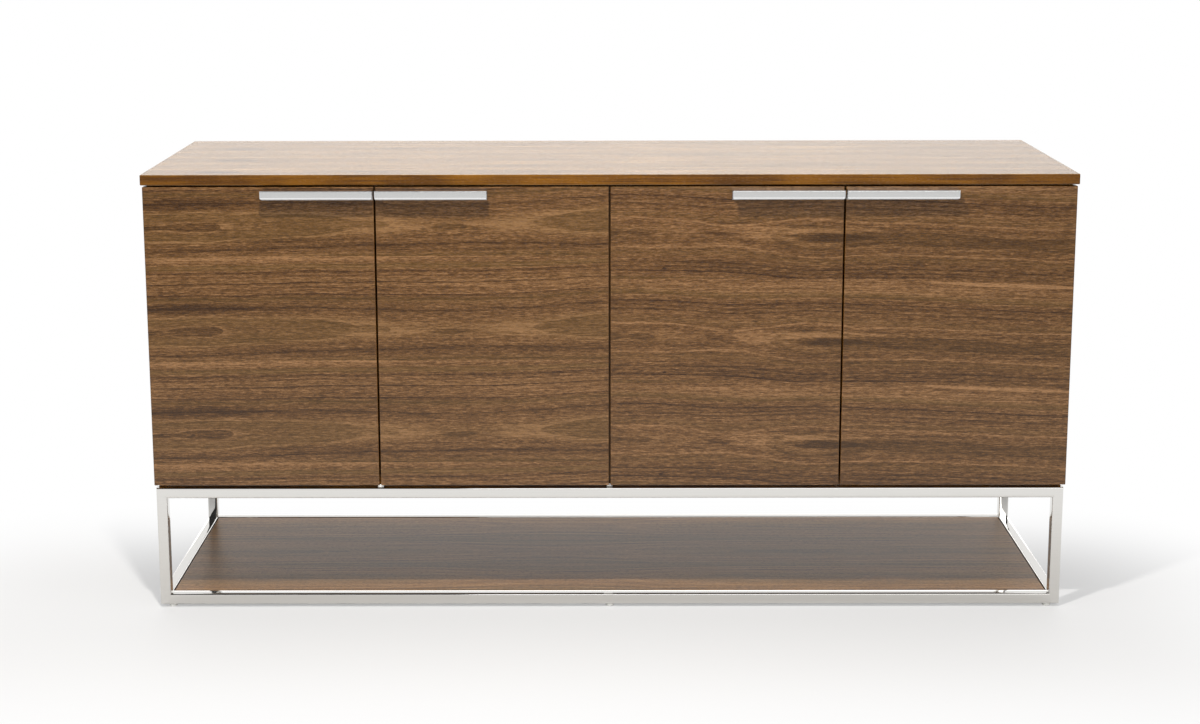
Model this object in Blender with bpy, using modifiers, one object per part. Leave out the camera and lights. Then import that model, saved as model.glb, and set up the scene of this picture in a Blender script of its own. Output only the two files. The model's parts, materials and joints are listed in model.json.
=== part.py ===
"""Walnut sideboard with four doors, on a polished square-tube frame with a low shelf.

Run it with: blender --background --python part.py
Lengths are in metres and +Z is up. The origin is on the floor, at the middle of the
footprint: X runs along the sideboard and the doors face -Y.

The cabinet is a case of two sides, a partition, a bottom, two top stretchers and a
back, under a loose top panel. Each door hangs on two concealed cup hinges. A hinge
is a cup sunk in the door, with a cross pin in it, and an arm on the case whose hook
lies behind that pin.
"""

import math

import bmesh
import bpy
from mathutils import Matrix, Vector

# Clearance between pieces that touch on the real object
FIT = 0.0003

# Top panel
TOP_WIDTH = 1.600
TOP_DEPTH = 0.457
TOP_THICKNESS = 0.018
PANEL_ROUND = 0.0012

# Tube frame
TUBE = 0.019
TUBE_WALL = 0.0015
TUBE_ROUND = 0.002
FRAME_HEIGHT = 0.2142
FRAME_END_SETBACK = 0.0041
FRAME_FRONT_SETBACK = 0.007
FRAME_BACK_SETBACK = 0.0035
VENT_RADIUS = 0.004

# Welded tabs in the frame, under the case and under the low shelf
TAB_LENGTH = 0.040
TAB_REACH = 0.022
TAB_THICKNESS = 0.003
TAB_BITE = 0.0025
TAB_HOLE_RADIUS = 0.0028
CASE_TAB_X = 0.420
SHELF_TAB_X = 0.520

# Glides under the frame
GLIDE_HEIGHT = 0.005
GLIDE_RADIUS = 0.0072
GLIDE_CHAMFER = 0.0012
GLIDE_END_INSET = 0.0205

# Low shelf inside the bottom rails
LOW_SHELF_THICKNESS = 0.0127
LOW_SHELF_DROP = 0.001
LOW_SHELF_GAP = 0.0018

# Case
CASE_HEIGHT = 0.537
CASE_END_SETBACK = 0.0057
CASE_BACK_SETBACK = 0.003
CASE_PANEL = 0.016
PARTITION_THICKNESS = 0.018
STRETCHER_DEPTH = 0.080
BACK_THICKNESS = 0.006
BACK_REBATE = 0.008

# Doors
DOOR_BOTTOM_GAP = 0.0061
DOOR_THICKNESS = 0.018
INNER_DOOR_WIDTH = 0.3985
DOOR_GAP = 0.003
DOOR_TOP_GAP = 0.003
DOOR_END_SETBACK = 0.0027
DOOR_FRONT_SETBACK = 0.002
DOOR_BACK_GAP = 0.002

# Handles, folded from sheet
HANDLE_LENGTH = 0.1905
HANDLE_PROJECTION = 0.020
HANDLE_LIP_HEIGHT = 0.0145
HANDLE_FLANGE_HEIGHT = 0.018
HANDLE_SHEET = 0.002
HANDLE_DROP = 0.0045
HANDLE_EDGE_INSET = 0.0005
HANDLE_FOLD_ROUND = 0.0022
HANDLE_CORNER_ROUND = 0.002

# Concealed hinges
HINGE_END_DISTANCE = 0.090
CUP_EDGE_DISTANCE = 0.006
CUP_POCKET_RADIUS = 0.0175
CUP_POCKET_DEPTH = 0.012
CUP_WALL = 0.001
CUP_FLANGE_THICKNESS = 0.0012
CUP_FLANGE_HALF_HEIGHT = 0.031
CUP_FLANGE_HALF_WIDTH = 0.011
CUP_SCREW_FROM_CENTRE = 0.024
HINGE_SCREW_RADIUS = 0.0022
HINGE_PIN_RADIUS = 0.0015
HINGE_PIN_FROM_EDGE = 0.024
HINGE_PIN_DEPTH = 0.006
ARM_HALF_HEIGHT = 0.0055
ARM_DEPTH = 0.006
ARM_STANDOFF = 0.008
ARM_START = 0.012
ARM_END = 0.060
HOOK_THICKNESS = 0.003
PLATE_THICKNESS = 0.002
PLATE_WIDTH = 0.018
PLATE_HALF_HEIGHT = 0.025
PLATE_FROM_FRONT = 0.037
PLATE_SCREW_SPACING = 0.032
PLATE_CORNER_ROUND = 0.004
ADJUSTER_RADIUS = 0.003
ADJUSTER_DEPTH = 0.002
ADJUSTER_END_INSET = 0.010

# Adjustable shelves and their pins
SHELF_THICKNESS = 0.016
SHELF_SIDE_GAP = 0.001
SHELF_FRONT_SETBACK = 0.030
SHELF_BACK_GAP = 0.004
PIN_HOLE_RADIUS = 0.0026
PIN_HOLE_DEPTH = 0.0085
PIN_HOLE_PITCH = 0.032
PIN_HOLES = 5
PIN_LINE_INSET = 0.050
PIN_FIRST_HEIGHT = 0.185
PIN_STUB = 0.007
PIN_COLLAR_RADIUS = 0.004
PIN_COLLAR_THICKNESS = 0.0006

# Small white pads on the front rail, under the meeting edges of doors
PAD_WIDTH = 0.010
OUTER_PAD_SETBACK = 0.0005
CENTRE_PAD_SETBACK = 0.0045

# Facets of round pieces
CUP_SIDES = 24
GLIDE_SIDES = 20
SMALL_SIDES = 10

# Planes that follow from the sizes above: heights
frame_bottom = GLIDE_HEIGHT + FIT
frame_top = frame_bottom + FRAME_HEIGHT
case_bottom = frame_top + FIT
case_top = case_bottom + CASE_HEIGHT
top_underside = case_top + FIT
door_top = top_underside - DOOR_TOP_GAP
door_bottom = frame_top + DOOR_BOTTOM_GAP
floor_top = case_bottom + CASE_PANEL
low_shelf_top = frame_bottom + TUBE - LOW_SHELF_DROP
low_shelf_bottom = low_shelf_top - LOW_SHELF_THICKNESS

# Depths, from the handles' lips at the front to the top panel's back edge
overall_depth = TOP_DEPTH + HANDLE_PROJECTION - DOOR_FRONT_SETBACK
top_back = overall_depth / 2
top_front = top_back - TOP_DEPTH
door_front = top_front + DOOR_FRONT_SETBACK
door_back = door_front + DOOR_THICKNESS
case_front = door_back + DOOR_BACK_GAP
case_back = top_back - CASE_BACK_SETBACK
case_inner_back = case_back - BACK_THICKNESS - FIT
frame_front = top_front + FRAME_FRONT_SETBACK
frame_back = top_back - FRAME_BACK_SETBACK

# Half widths, from the middle outwards
frame_half = TOP_WIDTH / 2 - FRAME_END_SETBACK
case_half = TOP_WIDTH / 2 - CASE_END_SETBACK
case_inner_half = case_half - CASE_PANEL
door_half = TOP_WIDTH / 2 - DOOR_END_SETBACK
partition_half = PARTITION_THICKNESS / 2
inner_door_edge = DOOR_GAP / 2
inner_door_free_edge = inner_door_edge + INNER_DOOR_WIDTH
outer_door_free_edge = inner_door_free_edge + DOOR_GAP

# Looks of the finishes: base colour, roughness and metallic value
WALNUT = ((0.185, 0.095, 0.040, 1.0), 0.38, 0.0)
CASE_WALNUT = ((0.165, 0.085, 0.037, 1.0), 0.45, 0.0)
POLISHED_STEEL = ((0.62, 0.61, 0.59, 1.0), 0.08, 1.0)
HINGE_STEEL = ((0.50, 0.50, 0.50, 1.0), 0.25, 1.0)
WHITE_NYLON = ((0.80, 0.80, 0.78, 1.0), 0.45, 0.0)


def clear_scene():
    """Remove every object of the scene."""
    for obj in list(bpy.data.objects):
        bpy.data.objects.remove(obj, do_unlink=True)


def add_collection(name):
    """Link a new collection to the scene."""
    collection = bpy.data.collections.new(name)
    bpy.context.scene.collection.children.link(collection)
    return collection


clear_scene()
PARTS = add_collection("sideboard")
CUTTERS = add_collection("sideboard_cutters")


def give_material(obj, finish):
    """Give the object its own Principled BSDF material."""
    colour, roughness, metallic = finish
    material = bpy.data.materials.new(obj.name)
    material.use_nodes = True
    shader = material.node_tree.nodes["Principled BSDF"]
    shader.inputs["Base Color"].default_value = colour
    shader.inputs["Roughness"].default_value = roughness
    shader.inputs["Metallic"].default_value = metallic
    obj.data.materials.append(material)


def add_object(name, shape, origin=(0, 0, 0)):
    """Turn a bmesh into a cutter object whose own origin is at the point given."""
    bmesh.ops.translate(shape, vec=-Vector(origin), verts=shape.verts)
    mesh = bpy.data.meshes.new(name)
    shape.to_mesh(mesh)
    shape.free()
    obj = bpy.data.objects.new(name, mesh)
    obj.location = origin
    obj.hide_render = True
    obj.display_type = "WIRE"
    CUTTERS.objects.link(obj)
    return obj


def make_part(obj, finish, parent=None):
    """Move an object from the cutters to the parts and dress it."""
    CUTTERS.objects.unlink(obj)
    PARTS.objects.link(obj)
    obj.hide_render = False
    obj.display_type = "TEXTURED"
    give_material(obj, finish)
    if parent is not None:
        obj.parent = parent
        obj.matrix_parent_inverse = Matrix.Translation(-parent.location)
    return obj


def box_shape(spans):
    """One bmesh of separate boxes, each given as its low and high corner."""
    shape = bmesh.new()
    for low, high in spans:
        low, high = Vector(low), Vector(high)
        size = high - low
        place = Matrix.Translation((low + high) / 2) @ Matrix.Diagonal((*size, 1))
        bmesh.ops.create_cube(shape, size=1, matrix=place)
    return shape


def rod_shape(radius, spans, sides=SMALL_SIDES):
    """One bmesh of separate rods, each given as its two end points."""
    shape = bmesh.new()
    for start, end in spans:
        start, end = Vector(start), Vector(end)
        turn = Vector((0, 0, 1)).rotation_difference(end - start).to_matrix().to_4x4()
        bmesh.ops.create_cone(
            shape,
            cap_ends=True,
            segments=sides,
            radius1=radius,
            radius2=radius,
            depth=(end - start).length,
            matrix=Matrix.Translation((start + end) / 2) @ turn,
        )
    return shape


def boolean(obj, other, operation):
    """Cut another object from this one, or join it on."""
    modifier = obj.modifiers.new(operation.lower(), "BOOLEAN")
    modifier.operation = operation
    modifier.object = other
    modifier.solver = "EXACT"


def bevel(obj, width, segments=2):
    """Round every sharp edge of the object."""
    modifier = obj.modifiers.new("rounding", "BEVEL")
    modifier.width = width
    modifier.segments = segments
    modifier.limit_method = "ANGLE"
    modifier.angle_limit = math.radians(40)


def shade_round(mesh):
    """Shade the curved faces smooth and keep the sharp edges."""
    mesh.shade_smooth()
    mesh.set_sharp_from_angle(angle=math.radians(40))


def board(name, low, high, finish=CASE_WALNUT, origin=None, parent=None):
    """A flat board with slightly eased edges."""
    centre = (Vector(low) + Vector(high)) / 2
    obj = add_object(name, box_shape([(low, high)]), centre if origin is None else origin)
    bevel(obj, PANEL_ROUND)
    return make_part(obj, finish, parent)


def turned_object(name, profile, sides, origin):
    """A turned piece about its own Z axis, from (radius, height) points, top to bottom."""
    mesh = bpy.data.meshes.new(name)
    points = [(radius, 0, height) for radius, height in profile]
    mesh.from_pydata(points, [(i, i + 1) for i in range(len(points) - 1)], [])
    obj = bpy.data.objects.new(name, mesh)
    obj.location = origin
    screw = obj.modifiers.new("turning", "SCREW")
    screw.steps = sides
    screw.render_steps = sides
    screw.use_merge_vertices = True
    screw.merge_threshold = 0.00001
    screw.use_smooth_shade = True
    CUTTERS.objects.link(obj)
    return obj


def baked_mesh(obj, hand=1):
    """The evaluated mesh of an object in world space, mirrored in X for a right hand."""
    bpy.context.view_layer.update()
    graph = bpy.context.evaluated_depsgraph_get()
    mesh = bpy.data.meshes.new_from_object(obj.evaluated_get(graph))
    shape = bmesh.new()
    shape.from_mesh(mesh)
    shape.transform(obj.matrix_world)
    if hand < 0:
        shape.transform(Matrix.Diagonal((-1, 1, 1, 1)))
        bmesh.ops.reverse_faces(shape, faces=shape.faces)
    shape.to_mesh(mesh)
    shape.free()
    bpy.data.objects.remove(obj, do_unlink=True)
    return mesh


# Top panel and case


def make_top():
    """The loose top panel."""
    low = (-TOP_WIDTH / 2, top_front, top_underside)
    high = (TOP_WIDTH / 2, top_back, top_underside + TOP_THICKNESS)
    board("top_panel", low, high, WALNUT)


def pin_heights():
    """Heights of the drilled holes in one line."""
    return [floor_top + PIN_FIRST_HEIGHT + i * PIN_HOLE_PITCH for i in range(PIN_HOLES)]


def pin_lines():
    """Depths of the front and the rear line of holes."""
    return (case_front + PIN_LINE_INSET, case_inner_back - PIN_LINE_INSET)


def make_side(name, side):
    """A side of the case: rebated at the back edge and drilled for shelf pins."""
    xs = sorted((side * case_half, side * case_inner_half))
    panel = board(name, (xs[0], case_front, case_bottom), (xs[1], case_back, case_top))
    inner = side * case_inner_half
    rebate = sorted((inner + side * BACK_REBATE, inner - side * CASE_PANEL))
    low = (rebate[0], case_inner_back, case_bottom - CASE_PANEL)
    high = (rebate[1], case_back + CASE_PANEL, case_top + CASE_PANEL)
    boolean(panel, add_object(name + "_rebate", box_shape([(low, high)])), "DIFFERENCE")
    spans = []
    for y in pin_lines():
        for z in pin_heights():
            mouth = inner - side * PIN_HOLE_DEPTH
            spans.append(((mouth, y, z), (inner + side * PIN_HOLE_DEPTH, y, z)))
    holes = add_object(name + "_holes", rod_shape(PIN_HOLE_RADIUS, spans))
    boolean(panel, holes, "DIFFERENCE")


def make_partition():
    """The centre partition, drilled from side to side for shelf pins."""
    low = (-partition_half, case_front, floor_top + FIT)
    high = (partition_half, case_inner_back, case_top - CASE_PANEL - FIT)
    panel = board("centre_partition", low, high)
    spans = []
    for y in pin_lines():
        for z in pin_heights():
            spans.append(((-PARTITION_THICKNESS, y, z), (PARTITION_THICKNESS, y, z)))
    holes = add_object("partition_holes", rod_shape(PIN_HOLE_RADIUS, spans))
    boolean(panel, holes, "DIFFERENCE")


def make_case():
    """The boards of the case."""
    make_side("left_side_panel", -1)
    make_side("right_side_panel", 1)
    make_partition()
    inner = case_inner_half - FIT
    board(
        "bottom_panel",
        (-inner, case_front, case_bottom),
        (inner, case_inner_back, floor_top),
    )
    stretchers = {
        "front_top_stretcher": case_front,
        "rear_top_stretcher": case_inner_back - STRETCHER_DEPTH,
    }
    for name, y in stretchers.items():
        low = (-inner, y, case_top - CASE_PANEL)
        board(name, low, (inner, y + STRETCHER_DEPTH, case_top))
    reach = case_inner_half + BACK_REBATE - FIT
    low = (-reach, case_back - BACK_THICKNESS, case_bottom)
    board("back_panel", low, (reach, case_back, case_top))


# Adjustable shelves


def make_pin_mesh():
    """A shelf pin along +Z: the stub under the shelf, a collar and the end in the hole."""
    shank = PIN_HOLE_RADIUS - FIT
    collar = PIN_COLLAR_THICKNESS
    profile = [
        (0, PIN_STUB),
        (shank, PIN_STUB),
        (shank, collar),
        (PIN_COLLAR_RADIUS, collar),
        (PIN_COLLAR_RADIUS, 0),
        (shank, 0),
        (shank, -PIN_HOLE_DEPTH + FIT),
        (0, -PIN_HOLE_DEPTH + FIT),
    ]
    pin = turned_object("shelf_pin", profile, SMALL_SIDES, (0, 0, 0))
    mesh = baked_mesh(pin)
    shade_round(mesh)
    return mesh


def make_shelf(bay, side, pin_mesh):
    """An adjustable shelf of one bay on four pins."""
    height = pin_heights()[PIN_HOLES // 2]
    xs = (side * partition_half, side * case_inner_half)
    shelf_low = height + PIN_HOLE_RADIUS
    low_x, high_x = sorted(xs)
    board(
        bay + "_inner_shelf",
        (low_x + SHELF_SIDE_GAP, case_front + SHELF_FRONT_SETBACK, shelf_low),
        (high_x - SHELF_SIDE_GAP, case_inner_back - SHELF_BACK_GAP, shelf_low + SHELF_THICKNESS),
    )
    for x, facing, place in ((low_x, 1, "left"), (high_x, -1, "right")):
        for y, depth in zip(pin_lines(), ("front", "rear")):
            name = f"{bay}_shelf_{depth}_{place}_pin"
            pin = bpy.data.objects.new(name, pin_mesh.copy())
            pin.location = (x + facing * FIT, y, height)
            pin.rotation_euler = (0, facing * math.pi / 2, 0)
            CUTTERS.objects.link(pin)
            make_part(pin, HINGE_STEEL)


# Tube frame


def ring_shape(half_width, low_z, high_z, low_y, high_y, member):
    """A rectangular ring of square tube, standing in the XZ plane.

    The ring is a block whose front and back are inset by one tube, with the two inset
    faces taken out and their edges bridged. The long edges of the tube are marked for
    rounding, and the corners where the tubes meet are left sharp.
    """
    shape = box_shape([((-half_width, low_y, low_z), (half_width, high_y, high_z))])
    ends = [face for face in shape.faces if abs(face.normal.y) > 0.5]
    bmesh.ops.inset_individual(shape, faces=ends, thickness=member, use_even_offset=True)
    rims = [edge for face in ends for edge in face.edges]
    bmesh.ops.delete(shape, geom=ends, context="FACES_ONLY")
    bmesh.ops.bridge_loops(shape, edges=rims)
    bmesh.ops.recalc_face_normals(shape, faces=shape.faces)
    weights = shape.edges.layers.float.new("bevel_weight_edge")
    for edge in shape.edges:
        first, second = edge.verts
        along_y = abs(first.co.y - second.co.y) > member / 2
        if not along_y and edge.calc_face_angle(0) > math.radians(45):
            edge[weights] = 1
    return shape


def make_ring(name, low_y, facing):
    """The front or rear frame: a hollow mitred ring with its welded tabs.

    Vent holes open the tube at the four corners, where the side rails' open ends
    butt against it. facing is the way to the inside of the frame along Y.
    """
    high_y = low_y + TUBE
    ring = add_object(name, ring_shape(frame_half, frame_bottom, frame_top, low_y, high_y, TUBE))
    rounding = ring.modifiers.new("tube_corners", "BEVEL")
    rounding.width = TUBE_ROUND
    rounding.segments = 3
    rounding.limit_method = "WEIGHT"
    hollow = ring_shape(
        frame_half - TUBE_WALL,
        frame_bottom + TUBE_WALL,
        frame_top - TUBE_WALL,
        low_y + TUBE_WALL,
        high_y - TUBE_WALL,
        TUBE - 2 * TUBE_WALL,
    )
    boolean(ring, add_object(name + "_hollow", hollow), "DIFFERENCE")
    inside = high_y if facing > 0 else low_y
    middle = (low_y + high_y) / 2
    vents = []
    for x in (-frame_half + TUBE / 2, frame_half - TUBE / 2):
        for z in (frame_bottom + TUBE / 2, frame_top - TUBE / 2):
            vents.append(((x, middle, z), (x, inside + facing * TUBE, z)))
    boolean(ring, add_object(name + "_vents", rod_shape(VENT_RADIUS, vents)), "DIFFERENCE")
    tabs = []
    holes = []
    levels = (
        ((-CASE_TAB_X, CASE_TAB_X), frame_top - TAB_THICKNESS),
        ((-SHELF_TAB_X, 0, SHELF_TAB_X), low_shelf_bottom - FIT - TAB_THICKNESS),
    )
    for xs, z in levels:
        for x in xs:
            ys = sorted((inside - facing * TAB_BITE, inside + facing * TAB_REACH))
            low = (x - TAB_LENGTH / 2, ys[0], z)
            tabs.append((low, (x + TAB_LENGTH / 2, ys[1], z + TAB_THICKNESS)))
            y = inside + facing * TAB_REACH / 2
            holes.append(((x, y, z - TUBE), (x, y, z + TUBE)))
    boolean(ring, add_object(name + "_tabs", box_shape(tabs)), "UNION")
    drill = add_object(name + "_tab_holes", rod_shape(TAB_HOLE_RADIUS, holes))
    boolean(ring, drill, "DIFFERENCE")
    make_part(ring, POLISHED_STEEL)


def make_rail(name, centre_x, low_z, tab_z=None, tab_side=0):
    """A square tube along Y with open ends, between the front and rear frames."""
    low_y = frame_front + TUBE + FIT
    high_y = frame_back - TUBE - FIT
    low = (centre_x - TUBE / 2, low_y, low_z)
    high = (centre_x + TUBE / 2, high_y, low_z + TUBE)
    shape = box_shape([(low, high)])
    weights = shape.edges.layers.float.new("bevel_weight_edge")
    for edge in shape.edges:
        first, second = edge.verts
        edge[weights] = abs(first.co.y - second.co.y) > TUBE
    rail = add_object(name, shape)
    rounding = rail.modifiers.new("tube_corners", "BEVEL")
    rounding.width = TUBE_ROUND
    rounding.segments = 3
    rounding.limit_method = "WEIGHT"
    bore_low = (low[0] + TUBE_WALL, low_y - TUBE, low_z + TUBE_WALL)
    bore_high = (high[0] - TUBE_WALL, high_y + TUBE, high[2] - TUBE_WALL)
    bore = add_object(name + "_bore", box_shape([(bore_low, bore_high)]))
    boolean(rail, bore, "DIFFERENCE")
    if tab_side:
        inside = centre_x + tab_side * TUBE / 2
        xs = sorted((inside - tab_side * TAB_BITE, inside + tab_side * TAB_REACH))
        middle = (low_y + high_y) / 2
        tab_low = (xs[0], middle - TAB_LENGTH / 2, tab_z)
        tab_high = (xs[1], middle + TAB_LENGTH / 2, tab_z + TAB_THICKNESS)
        tab = add_object(name + "_tab", box_shape([(tab_low, tab_high)]))
        boolean(rail, tab, "UNION")
        x = inside + tab_side * TAB_REACH / 2
        span = ((x, middle, tab_z - TUBE), (x, middle, tab_z + TUBE))
        drill = add_object(name + "_tab_hole", rod_shape(TAB_HOLE_RADIUS, [span]))
        boolean(rail, drill, "DIFFERENCE")
    make_part(rail, POLISHED_STEEL)


def make_frame():
    """The welded frame: two rings, four side rails and a cross rail under the case."""
    make_ring("front_frame", frame_front, 1)
    make_ring("rear_frame", frame_back - TUBE, -1)
    case_tab = frame_top - TAB_THICKNESS
    shelf_tab = low_shelf_bottom - FIT - TAB_THICKNESS
    for word, side in (("left", -1), ("right", 1)):
        x = side * (frame_half - TUBE / 2)
        make_rail(word + "_top_side_rail", x, frame_top - TUBE, case_tab, -side)
        make_rail(word + "_bottom_side_rail", x, frame_bottom, shelf_tab, -side)
    make_rail("centre_cross_rail", 0, frame_top - TUBE)


def make_low_shelf():
    """The walnut shelf inside the bottom rails, on their tabs."""
    x = frame_half - TUBE - LOW_SHELF_GAP
    low = (-x, frame_front + TUBE + LOW_SHELF_GAP, low_shelf_bottom)
    high = (x, frame_back - TUBE - LOW_SHELF_GAP, low_shelf_top)
    board("low_shelf", low, high, WALNUT)


def make_glides():
    """Turned nylon glides under the front and rear frames."""
    profile = [
        (0, GLIDE_HEIGHT),
        (GLIDE_RADIUS, GLIDE_HEIGHT),
        (GLIDE_RADIUS, GLIDE_CHAMFER),
        (GLIDE_RADIUS - GLIDE_CHAMFER, 0),
        (0, 0),
    ]
    end = frame_half - GLIDE_END_INSET
    for depth, y in (("front", frame_front + TUBE / 2), ("rear", frame_back - TUBE / 2)):
        for word, x in (("left", -end), ("centre", 0), ("right", end)):
            name = f"{depth}_{word}_glide"
            glide = turned_object(name, profile, GLIDE_SIDES, (x, y, 0))
            make_part(glide, WHITE_NYLON)


def make_pads():
    """Two white pads on the front rail, between its front and the case, under door edges."""
    seat = frame_top + FIT
    meeting = (inner_door_free_edge + outer_door_free_edge) / 2
    pads = (
        ("left_door_rest_pad", -meeting, OUTER_PAD_SETBACK),
        ("centre_door_rest_pad", 0, CENTRE_PAD_SETBACK),
    )
    for name, x, setback in pads:
        front = frame_front + TUBE_ROUND + setback
        low = (x - PAD_WIDTH / 2, front, seat)
        high = (x + PAD_WIDTH / 2, case_front - FIT, door_bottom - FIT)
        board(name, low, high, WHITE_NYLON)


# Hinges, modelled at the left edge of a door: X runs in from that edge, and Y runs
# back from the door's inner face


def make_cup_mesh(hand):
    """A hinge cup: a round shell with a flange, a bored mouth and the cross pin."""
    radius = CUP_POCKET_RADIUS - FIT
    floor = FIT - CUP_POCKET_DEPTH
    rim = FIT + CUP_FLANGE_THICKNESS
    centre = CUP_EDGE_DISTANCE + CUP_POCKET_RADIUS
    body = ((centre, floor, 0), (centre, rim, 0))
    cup = add_object("hinge_cup", rod_shape(radius, [body], CUP_SIDES))
    half_width = CUP_FLANGE_HALF_WIDTH
    half_height = CUP_FLANGE_HALF_HEIGHT
    low = (centre - half_width, FIT, -half_height)
    shape = box_shape([(low, (centre + half_width, rim, half_height))])
    corners = [edge for edge in shape.edges if edge.calc_length() < CUP_FLANGE_THICKNESS + FIT]
    bmesh.ops.bevel(
        shape,
        geom=corners,
        offset=half_width / 2,
        segments=3,
        profile=0.5,
        affect="EDGES",
    )
    boolean(cup, add_object("cup_flange", shape), "UNION")
    bore_span = ((centre, floor + CUP_WALL, 0), (centre, rim + CUP_WALL, 0))
    bore = add_object("cup_bore", rod_shape(radius - CUP_WALL, [bore_span], CUP_SIDES))
    boolean(cup, bore, "DIFFERENCE")
    screws = []
    for z in (-CUP_SCREW_FROM_CENTRE, CUP_SCREW_FROM_CENTRE):
        screws.append(((centre, -FIT, z), (centre, rim + CUP_WALL, z)))
    boolean(cup, add_object("cup_screws", rod_shape(HINGE_SCREW_RADIUS, screws)), "DIFFERENCE")
    reach = math.sqrt(radius**2 - (centre - HINGE_PIN_FROM_EDGE) ** 2) - CUP_WALL / 2
    pin_x = HINGE_PIN_FROM_EDGE
    pin_span = ((pin_x, -HINGE_PIN_DEPTH, -reach), (pin_x, -HINGE_PIN_DEPTH, reach))
    pin = add_object("cup_pin", rod_shape(HINGE_PIN_RADIUS, [pin_span]))
    boolean(cup, pin, "UNION")
    mesh = baked_mesh(cup, hand)
    shade_round(mesh)
    return mesh


def hook_outline(face):
    """The arm's outline, for a mounting face at this distance from the door's edge.

    The hook is two arcs about the cross pin: the inner one clears the pin, and the
    outer one is a hook's thickness further out.
    """
    pin = Vector((HINGE_PIN_FROM_EDGE, -HINGE_PIN_DEPTH))
    inner = HINGE_PIN_RADIUS + FIT
    outer = inner + HOOK_THICKNESS
    start, end, steps = math.radians(60), math.radians(180), 4
    angles = [start + (end - start) * i / steps for i in range(steps + 1)]
    points = [pin + inner * Vector((math.cos(a), math.sin(a))) for a in angles]
    for angle in reversed(angles[2:]):
        points.append(pin + outer * Vector((math.cos(angle), math.sin(angle))))
    low = face + ARM_STANDOFF
    high = low + ARM_DEPTH
    points += [Vector((low, ARM_START)), Vector((low, ARM_END)), Vector((high, ARM_END))]
    points.append(Vector((high, ARM_START - ARM_DEPTH / 2)))
    points.append(pin + outer * Vector((math.cos(start), math.sin(start))))
    return points


def make_arm_mesh(face, hand):
    """A hinge arm: the hooked lever with its two adjusters, the riser and the mounting plate."""
    shape = bmesh.new()
    corners = [shape.verts.new((p.x, p.y, -ARM_HALF_HEIGHT)) for p in hook_outline(face)]
    lever = shape.faces.new(corners)
    grown = bmesh.ops.extrude_face_region(shape, geom=[lever])
    top = [item for item in grown["geom"] if isinstance(item, bmesh.types.BMVert)]
    bmesh.ops.translate(shape, vec=(0, 0, 2 * ARM_HALF_HEIGHT), verts=top)
    bmesh.ops.recalc_face_normals(shape, faces=shape.faces)
    arm = add_object("hinge_arm", shape)
    seat = face + FIT
    middle = DOOR_BACK_GAP + PLATE_FROM_FRONT
    inset = ARM_HALF_HEIGHT / 4
    riser_low = (seat, ARM_START + inset, -ARM_HALF_HEIGHT + inset)
    riser_high = (face + ARM_STANDOFF + inset, ARM_END - inset, ARM_HALF_HEIGHT - inset)
    riser = add_object("arm_riser", box_shape([(riser_low, riser_high)]))
    boolean(arm, riser, "UNION")
    plate_low = (seat, middle - PLATE_WIDTH / 2, -PLATE_HALF_HEIGHT)
    plate_high = (seat + PLATE_THICKNESS, middle + PLATE_WIDTH / 2, PLATE_HALF_HEIGHT)
    shape = box_shape([(plate_low, plate_high)])
    corners = [edge for edge in shape.edges if edge.calc_length() < PLATE_THICKNESS + FIT]
    bmesh.ops.bevel(
        shape,
        geom=corners,
        offset=PLATE_CORNER_ROUND,
        segments=3,
        profile=0.5,
        affect="EDGES",
    )
    boolean(arm, add_object("arm_plate", shape), "UNION")
    screws = []
    for z in (-PLATE_SCREW_SPACING / 2, PLATE_SCREW_SPACING / 2):
        screws.append(((face - FIT, middle, z), (face + 2 * PLATE_THICKNESS, middle, z)))
    boolean(arm, add_object("arm_screws", rod_shape(HINGE_SCREW_RADIUS, screws)), "DIFFERENCE")
    outside = face + ARM_STANDOFF + ARM_DEPTH
    adjusters = []
    for y in (ARM_START + ADJUSTER_END_INSET, ARM_END - ADJUSTER_END_INSET):
        adjusters.append(((outside - ADJUSTER_DEPTH, y, 0), (outside + ADJUSTER_DEPTH, y, 0)))
    boolean(arm, add_object("arm_adjusters", rod_shape(ADJUSTER_RADIUS, adjusters)), "DIFFERENCE")
    return baked_mesh(arm, hand)


def place_copy(name, mesh, location, parent=None):
    """Put a copy of a finished mesh in its place as a part."""
    obj = bpy.data.objects.new(name, mesh.copy())
    obj.location = location
    CUTTERS.objects.link(obj)
    make_part(obj, HINGE_STEEL, parent)


# Doors with their handles and hinges


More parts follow.
